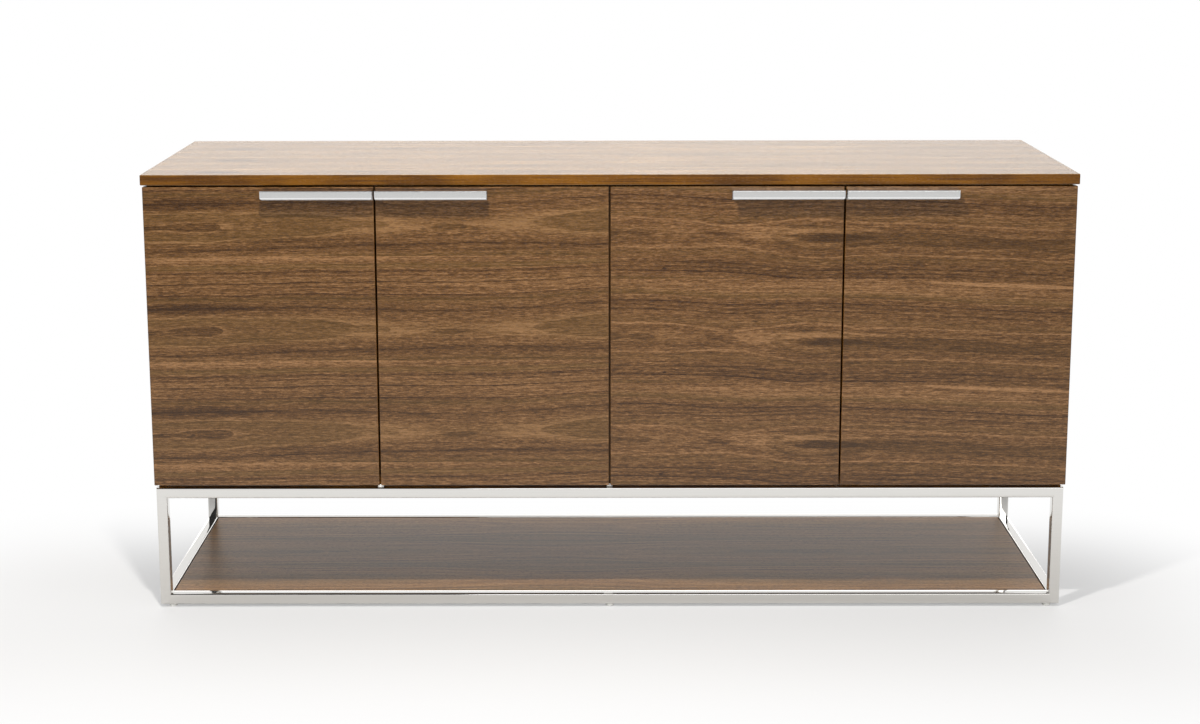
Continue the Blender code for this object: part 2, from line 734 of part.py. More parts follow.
def make_handle(name, low_x, door):
    """A pull folded from sheet: a flange on the door, a top and a lip that hangs down.

    The outer surface is a strip folded twice, with its folds and the lip's two lower
    corners rounded, and the sheet's thickness goes inwards from it.
    """
    high_z = door_top - HANDLE_DROP
    back_y = door_front - FIT
    lip_y = door_front - HANDLE_PROJECTION
    section = (
        (back_y, high_z - HANDLE_FLANGE_HEIGHT),
        (back_y, high_z),
        (lip_y, high_z),
        (lip_y, high_z - HANDLE_LIP_HEIGHT),
    )
    shape = bmesh.new()
    rows = []
    for x in (low_x, low_x + HANDLE_LENGTH):
        rows.append([shape.verts.new((x, y, z)) for y, z in section])
    for i in range(len(section) - 1):
        shape.faces.new((rows[0][i], rows[0][i + 1], rows[1][i + 1], rows[1][i]))
    folds = [edge for edge in shape.edges if len(edge.link_faces) == 2]
    bmesh.ops.bevel(
        shape,
        geom=folds,
        offset=HANDLE_FOLD_ROUND,
        segments=3,
        profile=0.5,
        affect="EDGES",
    )
    tips = [v for v in shape.verts if abs(v.co.z - (high_z - HANDLE_LIP_HEIGHT)) < FIT]
    bmesh.ops.bevel(
        shape,
        geom=tips,
        offset=HANDLE_CORNER_ROUND,
        segments=3,
        profile=0.5,
        affect="VERTICES",
    )
    bmesh.ops.recalc_face_normals(shape, faces=shape.faces)
    middle = Vector((low_x + HANDLE_LENGTH / 2, back_y, high_z))
    handle = add_object(name, shape, middle)
    sheet = handle.modifiers.new("sheet", "SOLIDIFY")
    sheet.thickness = HANDLE_SHEET
    sheet.offset = -1
    shade_round(handle.data)
    make_part(handle, POLISHED_STEEL, door)


def make_door(word, hinge_x, free_x, face, cup_mesh, arm_mesh):
    """A door with its handle at the free edge and two hinges at the other.

    The door's origin is on its hinge axis, along its front edge on the hinge side.
    face is the distance from the hinge edge to the board that carries the arms.
    """
    low_x, high_x = sorted((hinge_x, free_x))
    hand = 1 if hinge_x < free_x else -1
    name = word + "_door"
    axis = (hinge_x, door_front, door_bottom)
    door = board(
        name,
        (low_x, door_front, door_bottom),
        (high_x, door_back, door_top),
        WALNUT,
        axis,
    )
    cup_x = hinge_x + hand * (CUP_EDGE_DISTANCE + CUP_POCKET_RADIUS)
    heights = {
        "upper": door_top - HINGE_END_DISTANCE,
        "lower": door_bottom + HINGE_END_DISTANCE,
    }
    pockets = []
    for level, z in heights.items():
        deep = (cup_x, door_back - CUP_POCKET_DEPTH, z)
        pockets.append((deep, (cup_x, door_back + CUP_POCKET_DEPTH, z)))
        place = (hinge_x, door_back, z)
        place_copy(f"{word}_{level}_hinge_cup", cup_mesh, place, door)
        place_copy(f"{word}_{level}_hinge_arm", arm_mesh, place)
    shape = rod_shape(CUP_POCKET_RADIUS, pockets, CUP_SIDES)
    boolean(door, add_object(name + "_pockets", shape), "DIFFERENCE")
    if hand > 0:
        handle_x = free_x - HANDLE_EDGE_INSET - HANDLE_LENGTH
    else:
        handle_x = free_x + HANDLE_EDGE_INSET
    make_handle(word + "_handle", handle_x, door)


def make_doors():
    """Outer doors hinge on the sides, and inner doors on the partition."""
    outer_face = door_half - case_inner_half
    inner_face = partition_half - inner_door_edge
    cups = {hand: make_cup_mesh(hand) for hand in (1, -1)}
    outer_arms = {hand: make_arm_mesh(outer_face, hand) for hand in (1, -1)}
    inner_arms = {hand: make_arm_mesh(inner_face, hand) for hand in (1, -1)}
    doors = (
        ("left_outer", -door_half, -outer_door_free_edge, outer_face, 1, outer_arms),
        ("left_inner", -inner_door_edge, -inner_door_free_edge, inner_face, -1, inner_arms),
        ("right_inner", inner_door_edge, inner_door_free_edge, inner_face, 1, inner_arms),
        ("right_outer", door_half, outer_door_free_edge, outer_face, -1, outer_arms),
    )
    for word, hinge_x, free_x, face, hand, arms in doors:
        make_door(word, hinge_x, free_x, face, cups[hand], arms[hand])


def main():
    """Build every piece of the sideboard."""
    make_top()
    make_case()
    pin_mesh = make_pin_mesh()
    make_shelf("left", -1, pin_mesh)
    make_shelf("right", 1, pin_mesh)
    make_frame()
    make_low_shelf()
    make_glides()
    make_pads()
    make_doors()


main()
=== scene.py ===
"""Looks of the walnut sideboard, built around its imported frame.

The boards keep their solids and get veneer. The tube frame, the handles, the glides,
the pads and the screws are surfaces worked out here. Lengths are in metres, +Z is up,
and the doors face -Y.
"""

from __future__ import annotations

import json
import logging
import math
import sys
from dataclasses import dataclass, fields
from enum import Enum
from types import SimpleNamespace
from typing import Any, Sequence

import bpy
import numpy as np
from mathutils import Matrix, Vector

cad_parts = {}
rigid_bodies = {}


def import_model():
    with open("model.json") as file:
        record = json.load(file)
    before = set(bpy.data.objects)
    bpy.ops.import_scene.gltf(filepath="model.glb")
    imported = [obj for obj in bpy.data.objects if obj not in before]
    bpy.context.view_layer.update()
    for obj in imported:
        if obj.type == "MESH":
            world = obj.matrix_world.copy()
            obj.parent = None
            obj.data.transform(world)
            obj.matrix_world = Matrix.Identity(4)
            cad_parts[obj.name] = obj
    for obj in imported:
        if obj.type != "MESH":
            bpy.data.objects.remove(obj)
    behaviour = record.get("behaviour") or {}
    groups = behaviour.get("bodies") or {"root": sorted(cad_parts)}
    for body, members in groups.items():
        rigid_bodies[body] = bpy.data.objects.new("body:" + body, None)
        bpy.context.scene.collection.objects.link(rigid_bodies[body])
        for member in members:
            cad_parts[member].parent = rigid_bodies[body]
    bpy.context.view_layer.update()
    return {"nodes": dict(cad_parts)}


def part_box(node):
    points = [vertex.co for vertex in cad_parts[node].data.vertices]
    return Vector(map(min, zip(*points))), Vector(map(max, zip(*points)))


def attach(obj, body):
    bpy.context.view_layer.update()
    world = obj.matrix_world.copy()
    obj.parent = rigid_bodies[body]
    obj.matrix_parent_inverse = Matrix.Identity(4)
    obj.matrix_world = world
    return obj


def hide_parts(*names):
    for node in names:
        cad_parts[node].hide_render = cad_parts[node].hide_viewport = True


LOG = logging.getLogger("sideboard")
Colour = tuple[float, float, float]
Point = tuple[float, float, float]
Pair = tuple[float, float]
Socket = bpy.types.NodeSocket
Nodes = dict[str, bpy.types.Object]

WHITE: Colour = (1.0, 1.0, 1.0)
CABINET = "cabinet"
DOORS = ("left_outer", "left_inner", "right_inner", "right_outer")


class Axis(Enum):
    """A direction of the frame, as the index of its coordinate."""

    X = 0
    Y = 1
    Z = 2

    @property
    def vector(self) -> np.ndarray:
        """The unit vector along the axis."""
        return np.eye(3)[self.value]


# Node trees


class Value:
    """A number that varies over a surface. Arithmetic on it adds Math nodes."""

    def __init__(self, wiring: Wiring, socket: Socket) -> None:
        """Keep the number's socket and the wiring of its tree."""
        self.wiring = wiring
        self.socket = socket

    def __add__(self, other: Value | float) -> Value:
        """The sum."""
        return self.wiring.math("ADD", self, other)

    def __sub__(self, other: Value | float) -> Value:
        """The difference."""
        return self.wiring.math("SUBTRACT", self, other)

    def __rsub__(self, other: float) -> Value:
        """A plain number less this one."""
        return self.wiring.math("SUBTRACT", other, self)

    def __mul__(self, other: Value | float) -> Value:
        """The product."""
        return self.wiring.math("MULTIPLY", self, other)

    def __truediv__(self, other: Value | float) -> Value:
        """The quotient."""
        return self.wiring.math("DIVIDE", self, other)

    def ramp(self, low: float, high: float) -> Value:
        """A smooth ramp: t * t * (3 - 2 * t), where t runs from 0 to 1.

        Args:
            low: the number at which t is 0.
            high: the number at which t is 1.

        Returns:
            The ramp's value.
        """
        values = {"Value": self, "From Min": low, "From Max": high}
        made = self.wiring.node("ShaderNodeMapRange", values, interpolation_type="SMOOTHSTEP")
        return Value(self.wiring, made.outputs[0])


class Wiring:
    """Adds nodes to one node tree and joins their sockets."""

    def __init__(self, tree: bpy.types.NodeTree) -> None:
        """Start on the tree of a material, a group or a world."""
        self.tree = tree

    def node(
        self, kind: str, inputs: dict[Any, Any] | None = None, **settings: Any
    ) -> bpy.types.Node:
        """Add a node.

        Args:
            kind: the node's type name.
            inputs: what its inputs get, by name or number.
            settings: the node's own properties.

        Returns:
            The new node.
        """
        made = self.tree.nodes.new(kind)
        for name, value in settings.items():
            setattr(made, name, value)
        self.feed(made, inputs or {})
        return made

    def feed(self, node: bpy.types.Node, inputs: dict[Any, Any]) -> None:
        """Join or set a node's inputs.

        Args:
            node: the node.
            inputs: a Value, a socket, a number or a colour, by the input's name or number.
        """
        for key, value in inputs.items():
            target = node.inputs[key]
            source = value.socket if isinstance(value, Value) else value
            if isinstance(source, bpy.types.NodeSocket):
                self.tree.links.new(source, target)
            else:
                target.default_value = (*source, 1.0) if isinstance(source, tuple) else source

    def math(self, operation: str, *values: Value | Socket | float) -> Value:
        """A Math node's result."""
        made = self.node("ShaderNodeMath", dict(enumerate(values)), operation=operation)
        return Value(self, made.outputs[0])

    def coordinates(self, kind: str = "Object") -> list[Value]:
        """The X, Y and Z of the shaded point.

        Args:
            kind: which texture coordinates.

        Returns:
            The three numbers.
        """
        place = self.node("ShaderNodeTexCoord").outputs[kind]
        parts = self.node("ShaderNodeSeparateXYZ", {0: place}).outputs
        return [Value(self, part) for part in parts]

    def point(self, x: Value, y: Value, z: Value) -> Socket:
        """A vector from three numbers."""
        return self.node("ShaderNodeCombineXYZ", {0: x, 1: y, 2: z}).outputs[0]

    def noise(
        self, place: Socket | Value, scale: float = 1.0, detail: float = 2.0, rough: float = 0.5
    ) -> Value:
        """Noise from 0 to 1.

        Args:
            place: a point, or a number for noise along a line.
            scale: periods for each unit of place.
            detail: how many finer layers are added.
            rough: how strong each layer is beside the one before.

        Returns:
            The noise.
        """
        where, dimensions = ("W", "1D") if isinstance(place, Value) else ("Vector", "3D")
        values = {where: place, "Scale": scale, "Detail": detail, "Roughness": rough}
        made = self.node("ShaderNodeTexNoise", values, noise_dimensions=dimensions)
        return Value(self, made.outputs[0])

    def chance(self, place: Value) -> Value:
        """A random number from 0 to 1, one for each whole number."""
        made = self.node("ShaderNodeTexWhiteNoise", {"W": place}, noise_dimensions="1D")
        return Value(self, made.outputs[0])

    def blend(self, share: Value, first: Socket | Colour, second: Socket | Colour) -> Socket:
        """A mix of two colours: the first at a share of 0 or less, the second from 1 on."""
        values = {0: share, 6: first, 7: second}
        return self.node("ShaderNodeMix", values, data_type="RGBA", clamp_factor=True).outputs[2]

    def bump(self, height: Value, distance: float, strength: float = 1.0) -> Socket:
        """A normal bent by a height map."""
        values = {"Height": height, "Distance": distance, "Strength": strength}
        return self.node("ShaderNodeBump", values).outputs[0]


class Group:
    """A shader node group that several materials share. All its sockets are numbers."""

    def __init__(self, name: str, inputs: Sequence[str], outputs: Sequence[str]) -> None:
        """Make a group with nothing between its inputs and outputs.

        Args:
            name: the group's name.
            inputs: the inputs' names.
            outputs: the outputs' names.
        """
        self.tree = bpy.data.node_groups.new(name, "ShaderNodeTree")
        for direction, labels in (("INPUT", inputs), ("OUTPUT", outputs)):
            for label in labels:
                self.tree.interface.new_socket(
                    name=label, in_out=direction, socket_type="NodeSocketFloat"
                )
        self.wiring = Wiring(self.tree)
        given = self.tree.nodes.new("NodeGroupInput").outputs
        self.given = SimpleNamespace(**{name: Value(self.wiring, given[name]) for name in inputs})
        self.result = self.tree.nodes.new("NodeGroupOutput")

    def put_out(self, **values: Value) -> None:
        """Join the group's outputs, by name."""
        self.wiring.feed(self.result, values)

    def use(self, wiring: Wiring, **values: Value | float) -> SimpleNamespace:
        """Place the group in a tree.

        Args:
            wiring: the tree's wiring.
            values: the inputs, by name.

        Returns:
            The placed node's outputs, by name.
        """
        placed = wiring.node("ShaderNodeGroup", values, node_tree=self.tree)
        return SimpleNamespace(**{out.name: Value(wiring, out) for out in placed.outputs})


# Wood


@dataclass(frozen=True)
class Patch:
    """A light or dark lens-shaped patch that every leaf of a board repeats.

    along is its place along the grain, level its height over the leaf's heart line, and
    gain how much lighter it is than the wood round it. Its ends are pointed, and it fades
    over the range edge of its reach.
    """

    along: float
    level: float
    half_length: float
    half_height: float
    gain: float
    edge: Pair = (0.5, 1.25)

    def mask(self, w: Wiring, cut: SimpleNamespace) -> Value:
        """The gain, full inside the patch and 0 outside it.

        The reach is |level distance| / half height + (along distance / half length)
        squared.

        Args:
            w: the material's wiring.
            cut: the outputs of the group crown_cut.

        Returns:
            What the patch adds to the lightness.
        """
        far = (cut.leaf_along - self.along) / self.half_length
        high = w.math("ABSOLUTE", (cut.leaf_level - self.level) / self.half_height)
        return (1.0 - (far * far + high).ramp(*self.edge)) * self.gain


@dataclass(frozen=True)
class Figure:
    """How one veneered board's leaves are cut and laid.

    saddle and eye are places along the grain, leaf_start is the lower edge of one leaf
    across the grain, and heart is its heart line's height over the leaf's middle. Past
    lean_from the lines fall by lean metres a metre. wander and ripple are how far the
    heart line strays, and ring is a year's width.
    """

    leaf_start: float = 0.0
    leaf_height: float = 0.1832
    heart: float = 0.0
    depth: float = 0.045
    saddle: float = 0.0
    saddle_width: float = 0.30
    saddle_rise: float = 0.012
    eye: float = 0.3
    eye_width: float = 0.08
    eye_drop: float = 0.0
    lean: float = 0.0
    lean_from: float = 0.0
    wander: float = 0.014
    ripple: float = 0.0055
    ring: float = 0.0058
    seed: float = 1.0
    patches: tuple[Patch, ...] = ()

    def numbers(self) -> dict[str, float]:
        """Every field but the patches, by name."""
        names = [item.name for item in fields(self) if item.name != "patches"]
        return {name: getattr(self, name) for name in names}


@dataclass(frozen=True)
class RingPattern:
    """How the year rings vary. Rates are periods a metre, or a ring where named so."""

    slip: float = 0.016
    seed_step: float = 7.31
    wander_rate: Pair = (2.3, 4.0)
    ripple_rate: Pair = (9.0, 20.0)
    depth_rate: float = 6.0
    depth_change: float = 0.005
    tone_per_ring: float = 0.60
    tone_rough: float = 0.65
    broad_per_ring: float = 0.16
    warmth_per_ring: float = 0.30
    warmth_seed: float = 40.0
    late_wood: Pair = (0.45, 0.92)
    late_chance: Pair = (0.30, 1.0)
    early_wood: Pair = (0.05, 0.42)
    early_chance: Pair = (0.35, 1.0)
    early_seed: float = 91.0


def crown_cut_group(pattern: RingPattern = RingPattern()) -> Group:
    """The figure of crown-cut leaves laid one above another.

    A leaf is a plane cut beside the log's heart. A year ring shows where the distance
    to the heart, the root of (height from the heart line squared plus depth of the cut
    squared), is constant. The depth changes along the leaf: it rises to a saddle,
    where flames point at each other, and falls at an eye, where a flame closes.

    Args:
        pattern: how the rings vary.

    Returns:
        The group, with outputs tone, broad, warmth, line, glint, leaf_along and
        leaf_level. Its inputs are along, across and the numbers of a Figure.
    """
    outputs = ("tone", "broad", "warmth", "line", "glint", "leaf_along", "leaf_level")
    group = Group("crown_cut", ["along", "across", *Figure().numbers()], outputs)
    w, given = group.wiring, group.given
    leaf_place = (given.across - given.leaf_start) / given.leaf_height
    leaf = w.math("FLOOR", leaf_place)
    height = (w.math("FRACT", leaf_place) - 0.5) * given.leaf_height - given.heart
    along = (w.chance(leaf + given.seed) - 0.5) * pattern.slip + given.along
    seed = given.seed * pattern.seed_step

    def bell(centre: Value, width: Value) -> Value:
        """1 at the centre and a quarter at one width: (1 + (distance / width)^2)^-2."""
        reach = (along - centre) / width
        return w.math("POWER", reach * reach + 1.0, -2.0)

    def stray(rate: Pair, detail: float) -> Value:
        """Noise from -0.5 to 0.5 over the leaf."""
        return w.noise(w.point(along * rate[0], height * rate[1], seed), detail=detail) - 0.5

    past = w.math("MAXIMUM", along - given.lean_from, 0.0)
    level = height + past * given.lean
    level = level + stray(pattern.wander_rate, 1.0) * given.wander
    level = level + stray(pattern.ripple_rate, 2.0) * given.ripple
    rise = bell(given.saddle, given.saddle_width) * given.saddle_rise
    drop = bell(given.eye, given.eye_width) * given.eye_drop
    uneven = w.noise(along * pattern.depth_rate + seed) - 0.5
    depth = given.depth + rise - drop + uneven * pattern.depth_change
    rings = w.math("SQRT", level * level + depth * depth) / given.ring
    year, share = w.math("FLOOR", rings), w.math("FRACT", rings)
    is_late = share.ramp(*pattern.late_wood)
    is_early = 1.0 - share.ramp(*pattern.early_wood)
    tone_place = rings * pattern.tone_per_ring + seed
    warmth_place = rings * pattern.warmth_per_ring + (seed + pattern.warmth_seed)
    early_chance = w.chance(year + (seed + pattern.early_seed))
    group.put_out(
        tone=w.noise(tone_place, detail=3.0, rough=pattern.tone_rough),
        broad=w.noise(rings * pattern.broad_per_ring + seed, detail=1.0),
        warmth=w.noise(warmth_place, detail=1.0),
        line=is_late * w.chance(year + seed).ramp(*pattern.late_chance),
        glint=is_early * early_chance.ramp(*pattern.early_chance),
        leaf_along=along,
        leaf_level=level,
    )
    return group


@dataclass(frozen=True)
class Strand:
    """Noise drawn out along the grain, with its periods a metre along and across it."""

    along: float
    across: float
    detail: float
    rough: float = 0.60


STRANDS = {
    "fibre": Strand(6.0, 420.0, 3.0, 0.70),
    "fleck": Strand(110.0, 600.0, 2.0, 0.75),
    "hair": Strand(45.0, 2600.0, 2.0, 0.70),
    "streak": Strand(4.0, 120.0, 3.0, 0.65),
    "pores": Strand(130.0, 2100.0, 1.0),
    "cloud": Strand(3.5, 9.0, 3.0),
}
PORE_EDGE = (0.58, 0.66)


def fibre_group() -> Group:
    """Fibres and pores that run along the grain.

    Fibres are long and about two millimetres wide, flecks are shorter, hairs and pores
    are fractions of a millimetre wide, streaks are a finger wide, and clouds are broad.

    Returns:
        The group, with inputs along, across, deep and seed, and an output for each strand.
    """
    group = Group("fibre", ("along", "across", "deep", "seed"), list(STRANDS))
    w, given = group.wiring, group.given
    made = {}
    for name, strand in STRANDS.items():
        along = given.along * strand.along + given.seed
        place = w.point(along, given.across * strand.across, given.deep * strand.across)
        made[name] = w.noise(place, detail=strand.detail, rough=strand.rough)
    made["pores"] = made["pores"].ramp(*PORE_EDGE)
    group.put_out(**made)
    return group


def marks_group(mark_rate: Pair = (30.0, 900.0), wave_rate: float = 7.0) -> Group:
    """Fine polishing marks and a slow waviness, for metal.

    Args:
        mark_rate: the marks' periods a metre, along and across them.
        wave_rate: the waviness's periods a metre.

    Returns:
        The group, with inputs along, across and deep, and outputs marks and waves.
    """
    group = Group("polish_marks", ("along", "across", "deep"), ("marks", "waves"))
    w, given = group.wiring, group.given
    long, fine = mark_rate
    place = w.point(given.along * long, given.across * fine, given.deep * fine)
    wave_place = w.point(given.along, given.across, given.deep)
    group.put_out(marks=w.noise(place), waves=w.noise(wave_place, scale=wave_rate, detail=1.0))
    return group


class Groups:
    """The node groups, each built once."""

    def __init__(self) -> None:
        """Build every group."""
        self.crown_cut = crown_cut_group()
        self.fibre = fibre_group()
        self.marks = marks_group()


# Finishes


def weighed(base: Value | float, *parts: tuple[Value, float]) -> Value:
    """base plus what each part adds: its difference from a half, times its weight.

    Args:
        base: the value where every part is a half.
        parts: the parts and their weights. A part without weight is left out.

    Returns:
        The sum.
    """
    for value, weight in parts:
        if weight:
            base = (value - 0.5) * weight + base
    return base


@dataclass(frozen=True)
class Grain:
    """Which way a board lies: its grain, its width and its thickness."""

    along: Axis
    across: Axis
    thickness: Axis


@dataclass(frozen=True)
class Veneer:
    """Satin lacquered walnut veneer on a board, with its edge bands.

    The lightness runs from dark at 0 over middle at a half to light at 1. The fields
    from tone to streaks are how strongly each part of the pattern changes it.
    """

    dark: Colour = (0.034, 0.013, 0.0030)
    middle: Colour = (0.131, 0.059, 0.0160)
    light: Colour = (0.345, 0.180, 0.0760)
    olive: Colour = (0.106, 0.059, 0.0120)
    roughness: float = 0.27
    specular: float = 0.45
    tone: float = 0.46
    broad: float = 0.30
    glint: float = 0.22
    line: float = -0.40
    fibre: float = 0.70
    fleck: float = 1.6
    hair: float = 1.7
    streaks: float = 0.0
    olive_edge: Pair = (0.45, 0.75)
    olive_share: float = 0.40
    pore_shade: float = 0.60
    pore_roughness: float = 0.16
    pore_depth: float = 0.00003
    pore_bump: float = 0.6
    band_dark: Colour = (0.080, 0.028, 0.001)
    band_light: Colour = (0.225, 0.086, 0.002)
    band_middle: float = 0.42
    band_cloud: float = 4.0
    band_fibre: float = 2.6
    band_hair: float = 1.6
    band_skin: float = 0.0006

    def material(
        self, name: str, groups: Groups, figure: Figure, grain: Grain, node: str
    ) -> bpy.types.Material:
        """Make the veneer's material for one board.

        Args:
            name: the material's name.
            groups: the shared node groups.
            figure: how the leaves are cut.
            grain: which way the board lies.
            node: the board's node in the frame, for its ends and faces.

        Returns:
            The material.
        """
        material, w, shader = new_material(name)
        places = w.coordinates()
        along, across, deep = (
            places[axis.value] for axis in (grain.along, grain.across, grain.thickness)
        )
        cut = groups.crown_cut.use(w, along=along, across=across, **figure.numbers())
        fibre = groups.fibre.use(w, along=along, across=across, deep=deep, seed=figure.seed)
        lightness = weighed(
            cut.glint * self.glint + cut.line * self.line + 0.5,
            (cut.tone, self.tone),
            (cut.broad, self.broad),
            (fibre.fibre, self.fibre),
            (fibre.fleck, self.fleck),
            (fibre.hair, self.hair),
            (fibre.streak, self.streaks),
        )
        for patch in figure.patches:
            lightness = lightness + patch.mask(w, cut)
        face = w.blend(lightness * 2.0, self.dark, self.middle)
        face = w.blend(lightness * 2.0 - 1.0, face, self.light)
        face = w.blend(cut.warmth.ramp(*self.olive_edge) * self.olive_share, face, self.olive)
        face = w.blend(fibre.pores * self.pore_shade, face, self.dark)
        turned = groups.fibre.use(w, along=across, across=along, deep=deep, seed=figure.seed)
        straight_share = self.band_share(fibre)
        at_end = 1.0 - self.inside(w, along, node, grain.along)
        band_share = (self.band_share(turned) - straight_share) * at_end + straight_share
        band = w.blend(band_share, self.band_dark, self.band_light)
        at_edge = self.inside(w, deep, node, grain.thickness)
        looks = {
            "Base Color": w.blend(at_edge, face, band),
            "Roughness": fibre.pores * self.pore_roughness + self.roughness,
            "Specular IOR Level": self.specular,
            "Normal": w.bump(1.0 - fibre.pores, self.pore_depth, self.pore_bump),
        }
        w.feed(shader, looks)
        return material

    def band_share(self, fibre: SimpleNamespace) -> Value:
        """How light an edge band is, from fibres that run along it.

        Args:
            fibre: the outputs of the group fibre.

        Returns:
            The band's share of band_light.
        """
        return weighed(
            self.band_middle,
            (fibre.cloud, self.band_cloud),
            (fibre.fibre, self.band_fibre),
            (fibre.hair, self.band_hair),
        )

    def inside(self, w: Wiring, place: Value, node: str, axis: Axis) -> Value:
        """Whether a place lies further than a band's skin inside the board.

        Args:
            w: the material's wiring.
            place: the place along the axis.
            node: the board's node.
            axis: the axis.

        Returns:
            1 inside, 0 on the board's two faces across the axis.
        """
        low, high = (corner[axis.value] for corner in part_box(node))
        over = w.math("GREATER_THAN", place, low + self.band_skin)
        return over * w.math("LESS_THAN", place, high - self.band_skin)


@dataclass(frozen=True)
class Steel:
    """Stainless steel, from mirror polish to satin."""

    colour: Colour = (0.76, 0.745, 0.715)
    mark_shade: float = 0.94
    roughness: float = 0.035
    mark_roughness: float = 0.015
    wave_height: float = 0.00004

    def material(self, name: str, groups: Groups, along: Axis) -> bpy.types.Material:
        """Make the steel's material.

        Args:
            name: the material's name.
            groups: the shared node groups.
            along: the way the marks run.

        Returns:
            The material.
        """
        material, w, shader = new_material(name)
        places = w.coordinates()
        across, deep = (places[axis.value] for axis in Axis if axis is not along)
        polish = groups.marks.use(w, along=places[along.value], across=across, deep=deep)
        marked = tuple(self.mark_shade * part for part in self.colour)
        looks = {
            "Base Color": w.blend(polish.marks, self.colour, marked),
            "Metallic": 1.0,
            "Roughness": polish.marks * self.mark_roughness + self.roughness,
        }
        if self.wave_height:
            looks["Normal"] = w.bump(polish.waves, self.wave_height)
        w.feed(shader, looks)
        return material


@dataclass(frozen=True)
class Nylon:
    """White moulded nylon with a faint mottle."""

    colour: Colour = (0.80, 0.80, 0.77)
    shade: Colour = (0.70, 0.70, 0.66)
    roughness: float = 0.42
    mottle_rate: float = 450.0
    mottle_roughness: float = 0.12
    mottle_height: float = 0.00004

    def material(self, name: str) -> bpy.types.Material:
        """Make the nylon's material.

        Args:
            name: the material's name.

        Returns:
            The material.
        """
        material, w, shader = new_material(name)
        mottle = w.noise(w.point(*w.coordinates()), scale=self.mottle_rate, detail=3.0)
        looks = {
            "Base Color": w.blend(mottle, self.colour, self.shade),
            "Roughness": mottle * self.mottle_roughness + self.roughness,
            "Normal": w.bump(mottle, self.mottle_height),
        }
        w.feed(shader, looks)
        return material


def new_material(name: str) -> tuple[bpy.types.Material, Wiring, bpy.types.Node]:
    """A material with a Principled shader.

    Args:
        name: the material's name.

    Returns:
        The material, its wiring and its shader.
    """
    material = bpy.data.materials.new(name)
    material.use_nodes = True
    return material, Wiring(material.node_tree), material.node_tree.nodes["Principled BSDF"]


def dress(piece: bpy.types.Object, material: bpy.types.Material) -> None:
    """Give a frame node or a new piece its material.

    Args:
        piece: the node or piece.
        material: the finish.
    """
    if not piece.material_slots:
        piece.data.materials.append(material)
    for slot in piece.material_slots:
        slot.link = "OBJECT"
        slot.material = material


# Surfaces


def rounded_outline(corners: Sequence[Point], steps: int = 6) -> tuple[np.ndarray, np.ndarray]:
    """A closed outline whose corners are arcs.

    At a corner the path turns by an angle, the arc starts radius * tan(angle / 2)
    before it, and its normals sweep from one side's normal to the next side's.

    Args:
        corners: (x, y, radius) of each corner, anticlockwise.
        steps: the arc's number of points, less one.

    Returns:
        The points and their outward normals, both (n, 2).
    """
    places = np.array([corner[:2] for corner in corners])
    radii = np.array([corner[2] for corner in corners])[:, None, None]
    before = places - np.roll(places, 1, axis=0)
    after = np.roll(places, -1, axis=0) - places
    before /= np.linalg.norm(before, axis=1, keepdims=True)
    after /= np.linalg.norm(after, axis=1, keepdims=True)
    cross = before[:, 0] * after[:, 1] - before[:, 1] * after[:, 0]
    turn = np.arctan2(cross, (before * after).sum(1))
    start = np.arctan2(-before[:, 0], before[:, 1])
    sweep = start[:, None] + turn[:, None] * np.linspace(0, 1, steps + 1)
    normals = np.stack([np.cos(sweep), np.sin(sweep)], axis=2)
    side = np.sign(turn)[:, None, None]
    first = np.stack([np.cos(start), np.sin(start)], axis=1)
    tangent = places - before * radii[:, 0] * np.tan(np.abs(turn) / 2)[:, None]
    centres = tangent[:, None] - side * radii * first[:, None]
    points = centres + side * radii * normals
    return points.reshape(-1, 2), normals.reshape(-1, 2)


def grid_faces(rows: int, columns: int, close_rows: bool = False) -> np.ndarray:
    """Quads of a grid of points whose rows are closed rings.

    Args:
        rows: the number of rows.
        columns: the number of points in a row.
        close_rows: whether the last row joins the first.

    Returns:
        The faces, (m, 4), row by row.
    """
    i = np.arange(rows if close_rows else rows - 1)[:, None]
    j = np.arange(columns)[None, :]
    above, beside = (i + 1) % rows * columns, (j + 1) % columns
    quads = (i * columns + j, i * columns + beside, above + beside, above + j)
    return np.stack(np.broadcast_arrays(*quads), axis=2).reshape(-1, 4)


def end_faces(rows: int, columns: int) -> list[list[int]]:
    """The faces that close a grid's first and last row."""
    last = (rows - 1) * columns
    return [list(range(columns))[::-1], list(range(last, last + columns))]


@dataclass
class Shell:
    """A closed surface: its points, its faces and the normal at each face's corners."""

    points: np.ndarray
    faces: list[list[int]]
    normals: list[np.ndarray]

    def outward(self) -> Shell:
        """The same surface with its faces pointing out.

        The volume is the sum over the faces' fans of triangles of a . (b x c) / 6, and
        it is positive where they point out.

        Returns:
            This shell, or a copy with every face turned round.
        """
        volume = 0.0
        for face in self.faces:
            corners = self.points[face]
            volume += float((np.cross(corners[1:-1], corners[2:]) @ corners[0]).sum())
        if volume > 0:
            return self
        faces = [face[::-1] for face in self.faces]
        return Shell(self.points, faces, [corners[::-1] for corners in self.normals])

    def object(self, name: str) -> bpy.types.Object:
        """Make the scene's object.

        Args:
            name: the object's name.

        Returns:
            The object, in the scene's collection.
        """
        shell = self.outward()
        mesh = bpy.data.meshes.new(name)
        mesh.from_pydata(shell.points.tolist(), [], shell.faces)
        mesh.shade_smooth()
        mesh.normals_split_custom_set(np.concatenate(shell.normals).tolist())
        obj = bpy.data.objects.new(name, mesh)
        bpy.context.scene.collection.objects.link(obj)
        return obj


